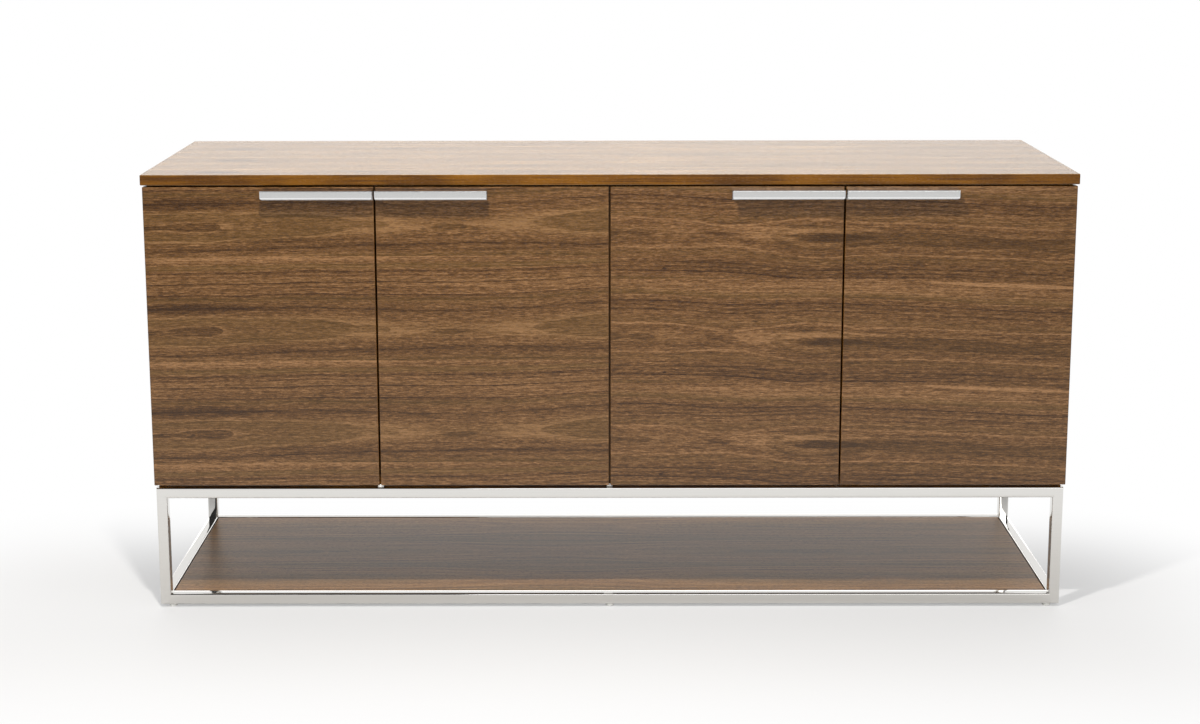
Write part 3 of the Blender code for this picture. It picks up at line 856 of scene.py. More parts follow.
def capped_shell(points: np.ndarray, vectors: np.ndarray) -> Shell:
    """A shell over rows of points, with a face over each end.

    Args:
        points: (rows, columns, 3), where each row is a closed ring.
        vectors: the normal at each point, in the same shape.

    Returns:
        The shell.
    """
    rows, columns = points.shape[:2]
    faces = [*grid_faces(rows, columns).tolist(), *end_faces(rows, columns)]
    flat = vectors.reshape(-1, 3)
    return Shell(points.reshape(-1, 3), faces, [flat[face] for face in faces])


def tube_shell(stations: np.ndarray, normals: np.ndarray, closed: bool) -> Shell:
    """A shell through stations that hold the same outline.

    Args:
        stations: (m, n, 3) points, one outline for each station.
        normals: (s, n, 3) normals of the outline along each of the s stretches.
        closed: whether the last station joins the first.

    Returns:
        The shell; one that isn't closed gets a flat cap at each end.
    """
    rows, columns = stations.shape[:2]
    faces = grid_faces(rows, columns, close_rows=closed)
    stretch = np.arange(len(faces)) // columns
    corners = normals[stretch[:, None], faces % columns]
    shell = Shell(stations.reshape(-1, 3), faces.tolist(), list(corners))
    if not closed:
        away = stations[0].mean(0) - stations[-1].mean(0)
        away /= np.linalg.norm(away)
        shell.faces += end_faces(rows, columns)
        shell.normals += [np.tile(away, (columns, 1)), np.tile(-away, (columns, 1))]
    return shell


def joined(shells: Sequence[Shell]) -> Shell:
    """Several shells as one, each with its faces pointing out.

    Args:
        shells: the shells.

    Returns:
        The joined shell.
    """
    faces: list[list[int]] = []
    normals: list[np.ndarray] = []
    start = 0
    for shell in (shell.outward() for shell in shells):
        faces += [[start + index for index in face] for face in shell.faces]
        normals += shell.normals
        start += len(shell.points)
    return Shell(np.concatenate([shell.points for shell in shells]), faces, normals)


@dataclass(frozen=True)
class ScrewHead:
    """A countersunk head with a cross recess.

    The innermost ring of points lies at the share hole of the radius, the recess's
    sides slope until recess_end times its half width, and no head faces along skew.
    """

    radius: float = 0.0034
    dome: float = 0.0004
    rim: float = 0.0008
    recess_half_length: float = 0.0019
    recess_half_width: float = 0.00045
    recess_depth: float = 0.0013
    recess_end: float = 1.5
    hole: float = 0.06
    rings: int = 12
    sides: int = 32
    skew: Point = (0.31, 0.72, 0.62)

    def shell(self, place: np.ndarray, facing: np.ndarray) -> Shell:
        """The head as a height over a disc.

        The height is dome * (1 - r squared), less the recess depth inside a cross,
        whose bars are |u| under the half length and |v| under the half width.

        Args:
            place: the middle of the seat that the head lies on.
            facing: the way the head faces.

        Returns:
            The closed shell.
        """
        side = np.cross(facing, self.skew)
        side /= np.linalg.norm(side)
        other = np.cross(facing, side)
        share = np.linspace(self.hole, 1.0, self.rings)[:, None]
        angle = np.linspace(0, 2 * np.pi, self.sides, endpoint=False)[None, :]
        u, v = self.radius * share * np.cos(angle), self.radius * share * np.sin(angle)
        long, wide = self.recess_half_length, self.recess_half_width
        bars = [np.maximum(np.abs(a) / long, np.abs(b) / wide) for a, b in ((u, v), (v, u))]
        slope = (self.recess_end - np.minimum(*bars)) / (self.recess_end - 1)
        height = self.dome * (1 - share**2) - self.recess_depth * np.clip(slope, 0, 1)
        height = np.concatenate([height, np.full((1, self.sides), -self.rim)])
        u, v = np.concatenate([u, u[-1:]]), np.concatenate([v, v[-1:]])
        points = place + u[..., None] * side + v[..., None] * other + height[..., None] * facing
        rows = self.rings + 1
        flat = points.reshape(-1, 3)
        faces = [*grid_faces(rows, self.sides).tolist(), *end_faces(rows, self.sides)]
        normals = [np.tile(face_normal(flat[face]), (len(face), 1)) for face in faces]
        return Shell(flat, faces, normals)


def face_normal(corners: np.ndarray) -> np.ndarray:
    """The unit normal of a flat face, from the sum of its fan's cross products."""
    total = np.cross(corners[1:-1] - corners[0], corners[2:] - corners[0]).sum(0)
    return total / max(float(np.linalg.norm(total)), sys.float_info.min)


def settle(
    shell: Shell, name: str, body: str, material: bpy.types.Material
) -> bpy.types.Object:
    """Make a shell a dressed piece that rides on a body.

    Args:
        shell: the surface.
        name: the piece's name.
        body: the frame's body.
        material: the finish.

    Returns:
        The piece.
    """
    piece = shell.object(name)
    dress(piece, material)
    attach(piece, body)
    LOG.info("%s: %d faces on %s", name, len(shell.faces), body)
    return piece


# Sub-assemblies

LYING = Grain(Axis.X, Axis.Y, Axis.Z)
STANDING = Grain(Axis.X, Axis.Z, Axis.Y)
END_ON = Grain(Axis.Y, Axis.Z, Axis.X)

LEFT_PAIR = Figure(
    leaf_start=0.634,
    heart=-0.0425,
    saddle=-0.266,
    saddle_width=0.34,
    saddle_rise=0.009,
    lean=-0.016,
    lean_from=-0.8,
    seed=3.0,
    patches=(
        Patch(-0.266, -0.004, 0.040, 0.0055, -0.34),
        Patch(-0.395, -0.004, 0.100, 0.0095, 0.13),
        Patch(-0.120, -0.006, 0.100, 0.0100, 0.06),
        Patch(-0.710, 0.000, 0.085, 0.0110, 0.22),
        Patch(-0.560, -0.026, 0.110, 0.0060, -0.14),
        Patch(-0.420, 0.129, 0.750, 0.0100, 0.17),
        Patch(-0.720, 0.042, 0.130, 0.0110, -0.24),
        Patch(-0.550, 0.058, 0.420, 0.0330, -0.09),
        Patch(-0.300, -0.040, 0.600, 0.0100, -0.08),
    ),
)
RIGHT_PAIR = Figure(
    leaf_start=0.594,
    heart=-0.0125,
    saddle=0.215,
    saddle_width=0.14,
    saddle_rise=0.005,
    eye=0.343,
    eye_width=0.090,
    eye_drop=0.005,
    lean=0.028,
    lean_from=0.05,
    seed=8.0,
    patches=(
        Patch(0.275, 0.005, 0.085, 0.0150, 0.26),
        Patch(0.385, 0.014, 0.095, 0.0065, 0.26),
        Patch(0.378, 0.001, 0.085, 0.0085, -0.52),
        Patch(0.200, 0.003, 0.035, 0.0045, -0.28),
        Patch(0.100, 0.004, 0.095, 0.0100, 0.12),
        Patch(0.690, 0.110, 0.170, 0.0040, 0.42),
        Patch(0.400, 0.098, 0.420, 0.0180, 0.07),
        Patch(0.450, -0.050, 0.420, 0.0300, -0.08),
        Patch(0.096, -0.062, 0.004, 0.0020, -0.80),
        Patch(0.253, 0.034, 0.006, 0.0016, -0.50),
    ),
)
TOP = Figure(
    leaf_start=-0.11,
    leaf_height=0.152,
    depth=0.060,
    saddle=0.25,
    wander=0.008,
    ripple=0.0020,
    ring=0.012,
    seed=12.0,
)
LOW_SHELF = Figure(
    leaf_start=-0.06,
    leaf_height=0.145,
    depth=0.085,
    saddle=-0.1,
    wander=0.008,
    ripple=0.003,
    seed=15.0,
)
SIDE = Figure(leaf_start=0.32, depth=0.055, saddle=0.1, seed=25.0)
PLAIN = Figure(depth=0.07, wander=0.012, seed=21.0)


@dataclass
class Case:
    """The veneered boards that stay as the frame gives them."""

    groups: Groups
    show: Veneer = Veneer()
    lid: Veneer = Veneer(
        dark=(0.050, 0.022, 0.0040),
        middle=(0.178, 0.094, 0.0260),
        light=(0.410, 0.250, 0.1000),
        streaks=1.5,
        pore_depth=0.00001,
    )
    inner: Veneer = Veneer(
        dark=(0.055, 0.024, 0.008),
        middle=(0.130, 0.062, 0.022),
        light=(0.230, 0.120, 0.046),
        roughness=0.34,
    )
    low: Veneer = Veneer(
        dark=(0.060, 0.027, 0.009),
        middle=(0.204, 0.098, 0.028),
        light=(0.380, 0.205, 0.072),
        olive=(0.160, 0.102, 0.024),
        roughness=0.33,
        specular=0.23,
        streaks=1.0,
    )

    def build(self, nodes: Nodes) -> None:
        """Dress every board.

        Args:
            nodes: the frame's nodes.
        """
        sides = ("left_side_panel", "right_side_panel", "centre_partition")
        shelves = ("left_inner_shelf", "right_inner_shelf")
        stretchers = ("front_top_stretcher", "rear_top_stretcher")
        boards = (
            (self.show, LEFT_PAIR, STANDING, ("left_outer_door", "left_inner_door")),
            (self.show, RIGHT_PAIR, STANDING, ("right_inner_door", "right_outer_door")),
            (self.lid, TOP, LYING, ("top_panel",)),
            (self.low, LOW_SHELF, LYING, ("low_shelf",)),
            (self.inner, SIDE, END_ON, sides),
            (self.inner, PLAIN, STANDING, ("back_panel",)),
            (self.inner, PLAIN, LYING, ("bottom_panel", *shelves, *stretchers)),
        )
        for veneer, figure, grain, names in boards:
            for name in names:
                label = name + "_veneer"
                dress(nodes[name], veneer.material(label, self.groups, figure, grain, name))
                LOG.info("%s: veneered", name)


@dataclass
class TubeFrame:
    """The polished frame of square tube, with its tabs and their screws."""

    groups: Groups
    tube: float = 0.019
    corner_round: float = 0.002
    corner_steps: int = 8
    shoulder_length: float = 0.0045
    shoulder_drop: float = 0.00030
    shoulder_round: float = 0.030
    tab_length: float = 0.040
    tab_reach: float = 0.022
    tab_bite: float = 0.0025
    tab_thickness: float = 0.003
    tab_round: float = 0.004
    tab_root_round: float = 0.0005
    tab_steps: int = 4
    case_tab_x: float = 0.420
    shelf_tab_x: float = 0.520
    shelf_tab_gap: float = 0.0003
    steel: Steel = Steel()

    def section(self, low: Pair, high: Pair) -> tuple[np.ndarray, np.ndarray]:
        """The tube's outline: rounded corners between faces that fall away near them.

        Each face is flat in the middle. From shoulder_length before a corner it slopes by
        shoulder_drop, and an arc of shoulder_round eases the change.

        Args:
            low: the lower values of the outline's two coordinates.
            high: the higher values.

        Returns:
            The outline's points and outward normals, anticlockwise.
        """
        drop, ease, long = self.shoulder_drop, self.shoulder_round, self.shoulder_length
        corners = []
        for right, top in ((-1, -1), (1, -1), (1, 1), (-1, 1)):
            x = high[0] if right > 0 else low[0]
            y = high[1] if top > 0 else low[1]
            corner = (x - right * drop, y - top * drop, self.corner_round)
            shoulders = [(x, y - top * long, ease), (x - right * long, y, ease)]
            before, after = shoulders if right == top else shoulders[::-1]
            corners += [before, corner, after]
        return rounded_outline(corners, self.corner_steps)

    def ring(self, node: str) -> Shell:
        """A mitred ring of tube, standing in the XZ plane.

        The outline is carried round the four corners: a point that lies a from the
        outside is at corner + a * (1, 1) towards the inside.

        Args:
            node: the ring's node.

        Returns:
            The closed ring.
        """
        low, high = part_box(node)
        front, back = self.depth_of(node)
        outline, outward = self.section((0.0, front), (self.tube, back))
        corners = np.array([[low.x, low.z], [high.x, low.z], [high.x, high.z], [low.x, high.z]])
        inwards = np.array([[1, 1], [-1, 1], [-1, -1], [1, -1]])
        flat = corners[:, None] + outline[None, :, :1] * inwards[:, None]
        depth = np.broadcast_to(outline[:, 1], flat.shape[:2])
        stations = np.stack([flat[..., 0], depth, flat[..., 1]], axis=2)
        inside = np.array([[0, 0, 1], [-1, 0, 0], [0, 0, -1], [1, 0, 0]])
        normals = outward[None, :, :1] * inside[:, None] + outward[None, :, 1:] * Axis.Y.vector
        return tube_shell(stations, normals, closed=True)

    def depth_of(self, node: str) -> Pair:
        """The front and back face of a ring's tube, without its tabs."""
        low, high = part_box(node)
        return (low.y, low.y + self.tube) if low.y < 0 else (high.y - self.tube, high.y)

    def rail(self, node: str) -> Shell:
        """A straight tube from the front ring to the rear one.

        A side rail's tabs reach inwards and down from it, so the tube is measured from
        its outer side and its top.

        Args:
            node: the rail's node.

        Returns:
            The tube.
        """
        low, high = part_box(node)
        half = self.tube / 2
        centre = 0.0
        if low.x * high.x > 0:
            centre = high.x - half if high.x > 0 else low.x + half
        outline, outward = self.section(
            (centre - half, high.z - self.tube), (centre + half, high.z)
        )
        parts = np.broadcast_arrays(outline[:, 0], np.array([[low.y], [high.y]]), outline[:, 1])
        normals = outward[:, :1] * Axis.X.vector + outward[:, 1:] * Axis.Z.vector
        return tube_shell(np.stack(parts, axis=2), normals[None], closed=False)

    def tab(self, x: float, y: float, base: float, inwards: np.ndarray) -> list[Shell]:
        """A welded plate and the screw through it.

        Args:
            x: where the tab leaves the tube.
            y: where the tab leaves the tube.
            base: the height of its underside.
            inwards: the way it reaches in from the tube.

        Returns:
            The plate and the screw's head under it.
        """
        along, up = np.cross(inwards, Axis.Z.vector), Axis.Z.vector
        half, bite, reach = self.tab_length / 2, self.tab_bite, self.tab_reach
        corners = [
            (-bite, -half, self.tab_root_round),
            (reach, -half, self.tab_round),
            (reach, half, self.tab_round),
            (-bite, half, self.tab_root_round),
        ]
        outline, outward = rounded_outline(corners, self.tab_steps)
        start = np.array([x, y, base])
        flat = start + outline[:, :1] * inwards + outline[:, 1:] * along
        normals = outward[:, :1] * inwards + outward[:, 1:] * along
        stations = np.stack([flat, flat + up * self.tab_thickness])
        plate = tube_shell(stations, normals[None], closed=False)
        return [plate, ScrewHead().shell(start + inwards * reach / 2, -up)]

    def tabs(self) -> list[Shell]:
        """Every tab, under the case and under the low shelf, with its screw.

        Returns:
            The plates and the screws' heads.
        """
        shelf_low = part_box("low_shelf")[0].z - self.shelf_tab_gap - self.tab_thickness
        case_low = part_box("front_frame")[1].z - self.tab_thickness
        made: list[Shell] = []
        for node, inwards in (("front_frame", Axis.Y.vector), ("rear_frame", -Axis.Y.vector)):
            front, back = self.depth_of(node)
            y = back if inwards[1] > 0 else front
            for x in (-self.case_tab_x, self.case_tab_x):
                made += self.tab(x, y, case_low, inwards)
            for x in (-self.shelf_tab_x, 0.0, self.shelf_tab_x):
                made += self.tab(x, y, shelf_low, inwards)
        middle = sum(corner.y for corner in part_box("left_top_side_rail")) / 2
        for side in (-1.0, 1.0):
            x = side * (abs(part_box("front_frame")[0].x) - self.tube)
            for base in (case_low, shelf_low):
                made += self.tab(x, middle, base, -side * Axis.X.vector)
        return made

    def build(self) -> None:
        """Build the rings, the rails, the tabs and their screws."""
        mirror_x = self.steel.material("mirror_steel_along_x", self.groups, Axis.X)
        mirror_y = self.steel.material("mirror_steel_along_y", self.groups, Axis.Y)
        for node in ("front_frame", "rear_frame"):
            piece = settle(self.ring(node), node + "_tube", CABINET, mirror_x)
            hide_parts(node)
        corners = [(side, level) for side in ("left", "right") for level in ("top", "bottom")]
        rails = [f"{side}_{level}_side_rail" for side, level in corners]
        for node in [*rails, "centre_cross_rail"]:
            piece = settle(self.rail(node), node + "_tube", CABINET, mirror_y)
            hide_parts(node)
        tabs = joined(self.tabs())
        settle(tabs, "frame_tabs_and_screws", CABINET, mirror_x)


@dataclass
class Handles:
    """Pulls folded from sheet, with the screws in their flanges."""

    groups: Groups
    sheet: float = 0.002
    fold_round: float = 0.0012
    inner_round: float = 0.0003
    arris: float = 0.0006
    arris_steps: int = 4
    lip_height: float = 0.0145
    lip_lean: float = 0.0013
    roll_height: float = 0.0030
    roll_depth: float = 0.0018
    roll_round: float = 0.012
    corner_round: float = 0.002
    slack: float = 0.0001
    screw_inset: float = 0.032
    screw_drop: float = 0.0095
    screw: ScrewHead = ScrewHead(radius=0.0028)
    steel: Steel = Steel(
        colour=(0.93, 0.93, 0.92), roughness=0.19, mark_roughness=0.03, wave_height=0.0
    )

    def section(self, low: Vector, high: Vector, lip_low: float) -> tuple[np.ndarray, np.ndarray]:
        """The folded sheet in the YZ plane: the flange, the top and the lip, which leans back.

        The lip's lowest part rolls in a little further, as a sheared edge does.

        Args:
            low: the lowest corner of the handle's box.
            high: the highest corner.
            lip_low: the height of the lip's lower edge.

        Returns:
            The outline's points (y, z) and its normals, anticlockwise from above the
            door to the lip and back inside.
        """
        t, inner = self.sheet, self.inner_round
        corners = [
            (high.y, low.z, self.arris),
            (high.y, high.z, self.fold_round),
            (low.y, high.z, self.fold_round),
            (low.y + self.lip_lean, lip_low + self.roll_height, self.roll_round),
            (low.y + self.roll_depth, lip_low, self.arris),
            (low.y + self.roll_depth + t, lip_low, self.arris),
            (low.y + t, high.z - t, inner),
            (high.y - t, high.z - t, inner),
            (high.y - t, low.z, self.arris),
        ]
        return rounded_outline(corners)

    def shell(self, node: str) -> Shell:
        """The handle: its section carried along X, with eased ends.

        Near an end the section shrinks by arris * (1 - sin), where the station's
        distance from the end is arris * (1 - cos). The lip's lower corners are
        quarter circles, which set the end back by radius - root(radius squared -
        rise squared).

        Args:
            node: the handle's node.

        Returns:
            The folded sheet.
        """
        low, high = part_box(node)
        lip_low = high.z - self.lip_height
        outline, outward = self.section(low, high, lip_low)
        is_lip = outline[:, 0] < low.y + self.roll_depth + self.sheet + self.slack
        rise = np.clip(lip_low + self.corner_round - outline[:, 1], 0, self.corner_round) * is_lip
        setback = self.corner_round - np.sqrt(self.corner_round**2 - rise**2)
        quarter = np.linspace(0, np.pi / 2, self.arris_steps + 1)
        stations, normals = [], []
        for x, sign, angles in ((low.x, -1.0, quarter), (high.x, 1.0, quarter[::-1])):
            for angle in angles:
                shrunk = outline - outward * self.arris * (1 - math.sin(angle))
                place = x - sign * (setback + self.arris * (1 - math.cos(angle)))
                stations.append(np.column_stack([place, shrunk]))
                end = np.full(len(outline), sign * math.cos(angle))
                normals.append(np.column_stack([end, outward * math.sin(angle)]))
        return capped_shell(np.stack(stations), np.stack(normals))

    def build(self) -> None:
        """Build each door's handle."""
        material = self.steel.material("handle_steel", self.groups, Axis.X)
        for door in DOORS:
            node = door + "_handle"
            low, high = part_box(node)
            shells = [self.shell(node)]
            for x in (low.x + self.screw_inset, high.x - self.screw_inset):
                place = np.array([x, high.y - self.sheet, high.z - self.screw_drop])
                shells.append(self.screw.shell(place, -Axis.Y.vector))
            body = door + "_door_leaf"
            piece = settle(joined(shells), door + "_pull", body, material)
            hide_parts(node)


@dataclass
class Hinges:
    """The screws of the concealed hinges, whose cups and arms stay as they are."""

    groups: Groups
    cup_screw_from_centre: float = 0.024
    plate_screw_from_centre: float = 0.016
    plate_setback: float = 0.039
    plate_top: float = 0.0023
    adjuster_sink: float = 0.0008
    adjuster_setbacks: Pair = (0.022, 0.050)
    cup_screw: ScrewHead = ScrewHead()
    plate_screw: ScrewHead = ScrewHead(radius=0.0032)
    adjuster: ScrewHead = ScrewHead(radius=0.0028, dome=0.0001)
    nickel: Steel = Steel(
        colour=(0.62, 0.61, 0.58), roughness=0.20, mark_roughness=0.10, wave_height=0.00002
    )

    def cup_screws(self, door: str, level: str) -> list[Shell]:
        """The two screws in a cup's flange.

        Args:
            door: the door's name.
            level: upper or lower.

        Returns:
            The screws' heads.
        """
        low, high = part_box(f"{door}_{level}_hinge_cup")
        middle = (low + high) / 2
        reach = self.cup_screw_from_centre
        places = [np.array([middle.x, high.y, middle.z + rise]) for rise in (-reach, reach)]
        return [self.cup_screw.shell(place, Axis.Y.vector) for place in places]

    def arm_screws(self, door: str, level: str) -> list[Shell]:
        """The two screws in an arm's plate and its two adjusters.

        Args:
            door: the door's name.
            level: upper or lower.

        Returns:
            The screws' heads.
        """
        low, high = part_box(f"{door}_{level}_hinge_arm")
        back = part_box(door + "_door")[1].y
        from_left = door in ("left_outer", "right_inner")
        board_low, board_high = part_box(self.board_of(door))
        face = board_high.x if from_left else board_low.x
        outside = high.x if from_left else low.x
        facing = Axis.X.vector * (1.0 if from_left else -1.0)
        z, reach = (low.z + high.z) / 2, self.plate_screw_from_centre
        heads = []
        for rise in (-reach, reach):
            place = np.array([face, back + self.plate_setback, z + rise])
            heads.append(self.plate_screw.shell(place + facing * self.plate_top, facing))
        for setback in self.adjuster_setbacks:
            place = np.array([outside, back + setback, z])
            heads.append(self.adjuster.shell(place - facing * self.adjuster_sink, facing))
        return heads

    @staticmethod
    def board_of(door: str) -> str:
        """The board that carries a door's hinges."""
        boards = {"left_outer": "left_side_panel", "right_outer": "right_side_panel"}
        return boards.get(door, "centre_partition")

    def build(self, nodes: Nodes) -> None:
        """Dress the cups, arms and shelf pins, and add the screws.

        Args:
            nodes: the frame's nodes.
        """
        material = self.nickel.material("hinge_nickel", self.groups, Axis.Z)
        on_case: list[Shell] = []
        for door in DOORS:
            on_door: list[Shell] = []
            for level in ("upper", "lower"):
                on_door += self.cup_screws(door, level)
                on_case += self.arm_screws(door, level)
            body = door + "_door_leaf"
            settle(joined(on_door), door + "_cup_screws", body, material)
        settle(joined(on_case), "hinge_arm_screws", CABINET, material)
        for name, node in nodes.items():
            if name.endswith(("_hinge_cup", "_hinge_arm", "_pin")):
                dress(node, material)


@dataclass
class Feet:
    """The glides under the frame and the pads under the doors.

    pad_crest and pad_foot are the shares of a pad's depth where its fall starts and ends.
    """

    sides: int = 48
    edge_round: float = 0.0011
    top_round: float = 0.0003
    round_steps: int = 4
    nylon: Nylon = Nylon()
    # The pads are white nylon. Their colour is set lighter than the glides' to make up for the
    # shade under the doors: painted light.
    pad_nylon: Nylon = Nylon(colour=(0.93, 0.93, 0.91), shade=(0.86, 0.86, 0.83))
    pad_shoulder: float = 0.0026
    pad_edge: float = 0.0004
    pad_fall: float = 0.62
    pad_crest: float = 0.05
    pad_foot: float = 0.5
    pad_steps: int = 10

    def glide(self, node: str) -> Shell:
        """A glide: the right half of an upright slice through it, turned about its axis.

        At an angle a, the slice's point (x, z) lies at (x cos a, x sin a, z).

        Args:
            node: the glide's node.

        Returns:
            The turned piece.
        """
        low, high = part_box(node)
        middle, radius = (low + high) / 2, (high.x - low.x) / 2
        corners = [
            (-radius, low.z, 0.0),
            (radius, low.z, self.edge_round),
            (radius, high.z, self.top_round),
            (-radius, high.z, 0.0),
        ]
        outline, outward = rounded_outline(corners, self.round_steps)
        right = outline[:, 0] > 0
        angle = np.linspace(0, 2 * np.pi, self.sides, endpoint=False)
        ring = np.stack([np.cos(angle), np.sin(angle), np.zeros(self.sides)], axis=1)

        def turned(flat: np.ndarray) -> np.ndarray:
            """Points or normals of the slice, carried round the ring."""
            return flat[:, :1, None] * ring + flat[:, 1:, None] * Axis.Z.vector

        centre = np.array([middle.x, middle.y, 0.0])
        return capped_shell(turned(outline[right]) + centre, turned(outward[right]))

    def pad(self, node: str) -> Shell:
        """A pad with round shoulders, which is highest near its front.

        The outline in the XZ plane is carried along Y. At a share s of the depth its
        height is scaled by 1 - fall * t * t * (3 - 2 * t), where t runs from 0 at the
        crest to 1 at the foot.

        Args:
            node: the pad's node.

        Returns:
            The cap.
        """
        low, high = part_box(node)
        corners = [
            (low.x, low.z, self.pad_edge),
            (high.x, low.z, self.pad_edge),
            (high.x, high.z, self.pad_shoulder),
            (low.x, high.z, self.pad_shoulder),
        ]
        outline, outward = rounded_outline(corners)
        size = high - low
        crest, foot = self.pad_crest, self.pad_foot
        steps = np.linspace(crest, foot, self.pad_steps)
        share = np.array([0.0, crest / 5, crest * 3 / 5, *steps, (foot + 1) / 2, 1.0])
        t = np.clip((share - crest) / (foot - crest), 0, 1)
        scale = 1 - self.pad_fall * t * t * (3 - 2 * t)
        inset = self.pad_edge * np.clip(1 - share / crest, 0, 1) ** 2
        flat = outline[None] - outward[None] * inset[:, None, None]
        rise = low.z + (flat[..., 1] - low.z) * scale[:, None]
        deep = low.y + np.broadcast_to(share[:, None], rise.shape) * size.y
        stations = np.stack([flat[..., 0], deep, rise], axis=2)
        slope = -np.diff(scale)[:, None] * size.z / (np.diff(share)[:, None] * size.y)
        tilt = slope * np.clip(outward[None, :, 1], 0, 1)
        across = np.broadcast_to(outward[None], (*tilt.shape, 2))
        normals = np.stack([across[..., 0], tilt, across[..., 1]], axis=2)
        normals /= np.linalg.norm(normals, axis=2, keepdims=True)
        return tube_shell(stations, normals, closed=False)

    def build(self, nodes: Nodes) -> None:
        """Build the glides and the pads.

        Args:
            nodes: the frame's nodes.
        """
        material = self.nylon.material("white_nylon")
        for name in [name for name in nodes if name.endswith("_glide")]:
            piece = settle(self.glide(name), name + "_foot", CABINET, material)
            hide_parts(name)
        # Painted light: the pads get the lighter nylon, which offsets the shade they sit in.
        lightened_pad_material = self.pad_nylon.material("pad_nylon")
        for name in [name for name in nodes if name.endswith("_pad")]:
            piece = settle(self.pad(name), name + "_block", CABINET, lightened_pad_material)
            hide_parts(name)


# Stage, light and camera


@dataclass
class Stage:
    """A plain white floor that keeps the shadow, and a white background.

    The shadow shows most between shaded_low and shaded_high. room_depth and
    room_height are ranges of a ray's Y and Z over which the dim room sets in.
    """

    half_size: float = 40.0
    floor_colour: Colour = (0.67, 0.67, 0.67)
    floor_roughness: float = 0.9
    near_glow: float = 0.38
    far_mirrored_glow: float = 0.20
    mirrored_fade: Pair = (1.05, 2.55)
    fade_length: float = 0.50
    shaded_low: Pair = (-1.00, -0.42)
    shaded_high: Pair = (0.82, -0.12)
    world_strength: float = 0.57
    background: float = 1.0
    room_level: float = 0.04
    room_depth: Pair = (-0.35, 0.30)
    room_height: Pair = (0.08, 0.28)

    def build(self) -> None:
        """Make the floor and the world."""
        edge = self.half_size
        points = [(-edge, -edge, 0.0), (edge, -edge, 0.0), (edge, edge, 0.0), (-edge, edge, 0.0)]
        mesh = bpy.data.meshes.new("floor")
        mesh.from_pydata(points, [], [(0, 1, 2, 3)])
        floor = bpy.data.objects.new("floor", mesh)
        bpy.context.scene.collection.objects.link(floor)
        mesh.materials.append(self.floor_material())
        self.light_world()

    def seen(self, w: Wiring) -> tuple[Value, Value]:
        """What kind of ray sees the point.

        Args:
            w: the tree's wiring.

        Returns:
            Two flags: a ray from the camera or through glass, and a ray from a mirror.
        """
        path = w.node("ShaderNodeLightPath").outputs
        direct = w.math("MAXIMUM", path["Is Camera Ray"], path["Is Transmission Ray"])
        return direct, Value(w, path["Is Glossy Ray"])

    def distance(self, w: Wiring) -> Value:
        """How far a point of the floor lies outside the rectangle where the shadow shows most.

        Args:
            w: the floor's wiring.

        Returns:
            The distance, 0 inside the rectangle.
        """
        gaps = []
        for part, low, high in zip(w.coordinates(), self.shaded_low, self.shaded_high):
            beyond = w.math("MAXIMUM", low - part, part - high)
            gaps.append(w.math("MAXIMUM", beyond, 0.0))
        return w.math("SQRT", gaps[0] * gaps[0] + gaps[1] * gaps[1])

    def floor_material(self) -> bpy.types.Material:
        """A matt white floor whose own glow grows to pure white away from the sideboard.

        In a mirror it is plain near the sideboard, white a step away, and a little grey
        far out.

        Returns:
            The material.
        """
        material, w, shader = new_material("floor_white")
        looks = {
            "Base Color": self.floor_colour,
            "Roughness": self.floor_roughness,
            "Specular IOR Level": 0.0,
        }
        w.feed(shader, looks)
        distance = self.distance(w)
        faded = distance.ramp(0.0, self.fade_length)
        direct, mirrored = self.seen(w)
        far = mirrored * distance.ramp(*self.mirrored_fade)
        level = far * (self.far_mirrored_glow - self.background) + self.background
        glow = w.node("ShaderNodeEmission", {"Color": WHITE, "Strength": level})
        seen_share = faded * (1.0 - self.near_glow) + self.near_glow
        share = direct * seen_share + mirrored * faded
        shaders = {0: share, 1: shader.outputs[0], 2: glow.outputs[0]}
        mixed = w.node("ShaderNodeMixShader", shaders)
        w.feed(material.node_tree.nodes["Material Output"], {"Surface": mixed.outputs[0]})
        return material

    def light_world(self) -> None:
        """White for what sees it directly, and a lower level for the soft light that it gives.

        A mirror sees white all round, but for the dim room high up in front of the
        sideboard.
        """
        world = bpy.data.worlds.new("studio")
        bpy.context.scene.world = world
        world.use_nodes = True
        w = Wiring(world.node_tree)
        direct, mirrored = self.seen(w)
        _, ray_y, ray_z = w.coordinates("Generated")
        room = (1.0 - ray_y.ramp(*self.room_depth)) * ray_z.ramp(*self.room_height)
        spare = self.background - self.world_strength
        in_mirror = room * (self.room_level - self.background) + spare
        strength = mirrored * in_mirror + direct * spare + self.world_strength
        w.feed(world.node_tree.nodes["Background"], {"Color": WHITE, "Strength": strength})


@dataclass(frozen=True)
class Softbox:
    """An area lamp: where it stands, what it faces, its size and its power."""

    name: str
    place: Point
    target: Point
    size: Pair
    power: float
    colour: Colour = WHITE
    in_mirrors: bool = True

    def build(self) -> None:
        """Put the lamp in the scene."""
        lamp = bpy.data.lights.new(self.name, "AREA")
        lamp.shape = "RECTANGLE"
        lamp.size, lamp.size_y = self.size
        lamp.energy = self.power
        lamp.color = self.colour
        obj = bpy.data.objects.new(self.name, lamp)
        obj.location = self.place
        aim = Vector(self.target) - Vector(self.place)
        obj.rotation_euler = aim.to_track_quat("-Z", "Y").to_euler()
        obj.visible_camera = False
        obj.visible_glossy = self.in_mirrors
        bpy.context.scene.collection.objects.link(obj)


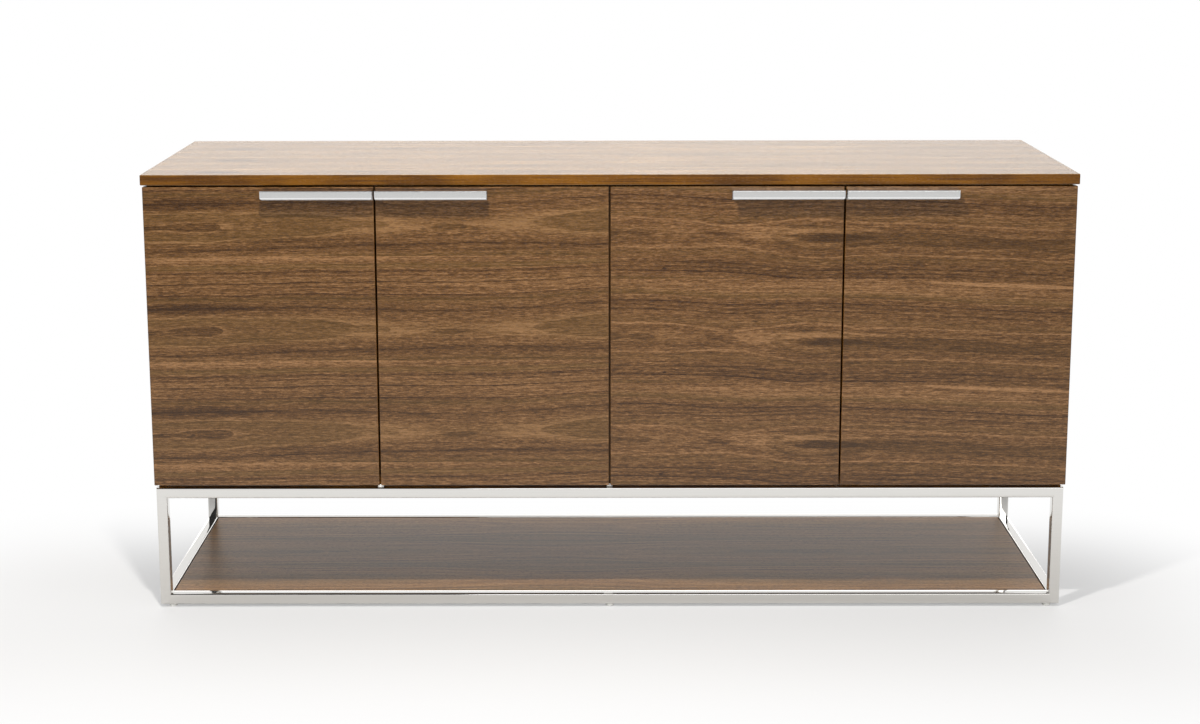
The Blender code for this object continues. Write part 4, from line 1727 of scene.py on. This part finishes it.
# The key over the doors, a fill from the front, a wide panel above, and a far one that
# the top reflects
SOFTBOXES = (
    Softbox(
        "key",
        place=(-0.35, -1.16, 2.45),
        target=(0.0, -0.2, 0.35),
        size=(0.12, 0.07),
        power=45.0,
        colour=(1.0, 0.97, 0.93),
        in_mirrors=False,
    ),
    Softbox("fill", (0.8, -4.6, 2.0), (0.0, 0.0, 0.5), (2.8, 1.6), 48.0),
    Softbox("overhead", (0.0, 0.85, 2.7), (0.0, 0.85, 0.0), (3.2, 1.6), 40.0, in_mirrors=False),
    Softbox("far", (0.0, 6.0, 1.62), (0.0, 0.0, 0.78), (12.0, 0.55), 31.0),
)


@dataclass(frozen=True)
class Viewpoint:
    """The camera that takes the photograph's view.

    Its axes are turned from a level view along +Y by yaw, then down by pitch, then by
    roll. The photograph's upright lines are parallel, which takes a larger shift than
    the one set here. A larger one would push the sideboard out of every other view.
    """

    place: Point = (-0.0240, -3.4429, 1.2441)
    lens: float = 57.47
    yaw: float = 0.00228
    pitch: float = math.radians(9.936)
    roll: float = -0.00168
    shift: Pair = (0.00723, -0.11)
    sensor_width: float = 36.0
    clip: Pair = (0.05, 200.0)

    def build(self) -> None:
        """Make the scene's camera."""
        data = bpy.data.cameras.new("photo_view")
        data.lens = self.lens
        data.sensor_width = self.sensor_width
        data.shift_x, data.shift_y = self.shift
        data.clip_start, data.clip_end = self.clip
        camera = bpy.data.objects.new("photo_view", data)
        turn = Matrix.Rotation(self.yaw, 4, "Z")
        down = Matrix.Rotation(math.pi / 2 - self.pitch, 4, "X")
        roll = Matrix.Rotation(self.roll, 4, "Z")
        camera.matrix_world = Matrix.Translation(self.place) @ turn @ down @ roll
        bpy.context.scene.collection.objects.link(camera)
        bpy.context.scene.camera = camera


def clear_scene() -> None:
    """Remove what the startup file holds."""
    for obj in list(bpy.data.objects):
        bpy.data.objects.remove(obj, do_unlink=True)


def main() -> None:
    """Load the frame, build the sub-assemblies in order, and set the stage."""
    logging.basicConfig(level=logging.INFO, format="%(name)s: %(message)s")
    clear_scene()
    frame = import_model()
    nodes = frame["nodes"]
    bpy.context.scene.view_settings.view_transform = "Standard"
    groups = Groups()
    Case(groups).build(nodes)
    TubeFrame(groups).build()
    Handles(groups).build()
    Hinges(groups).build(nodes)
    Feet().build(nodes)
    Stage().build()
    for softbox in SOFTBOXES:
        softbox.build()
    Viewpoint().build()


if __name__ == "__main__":
    main()
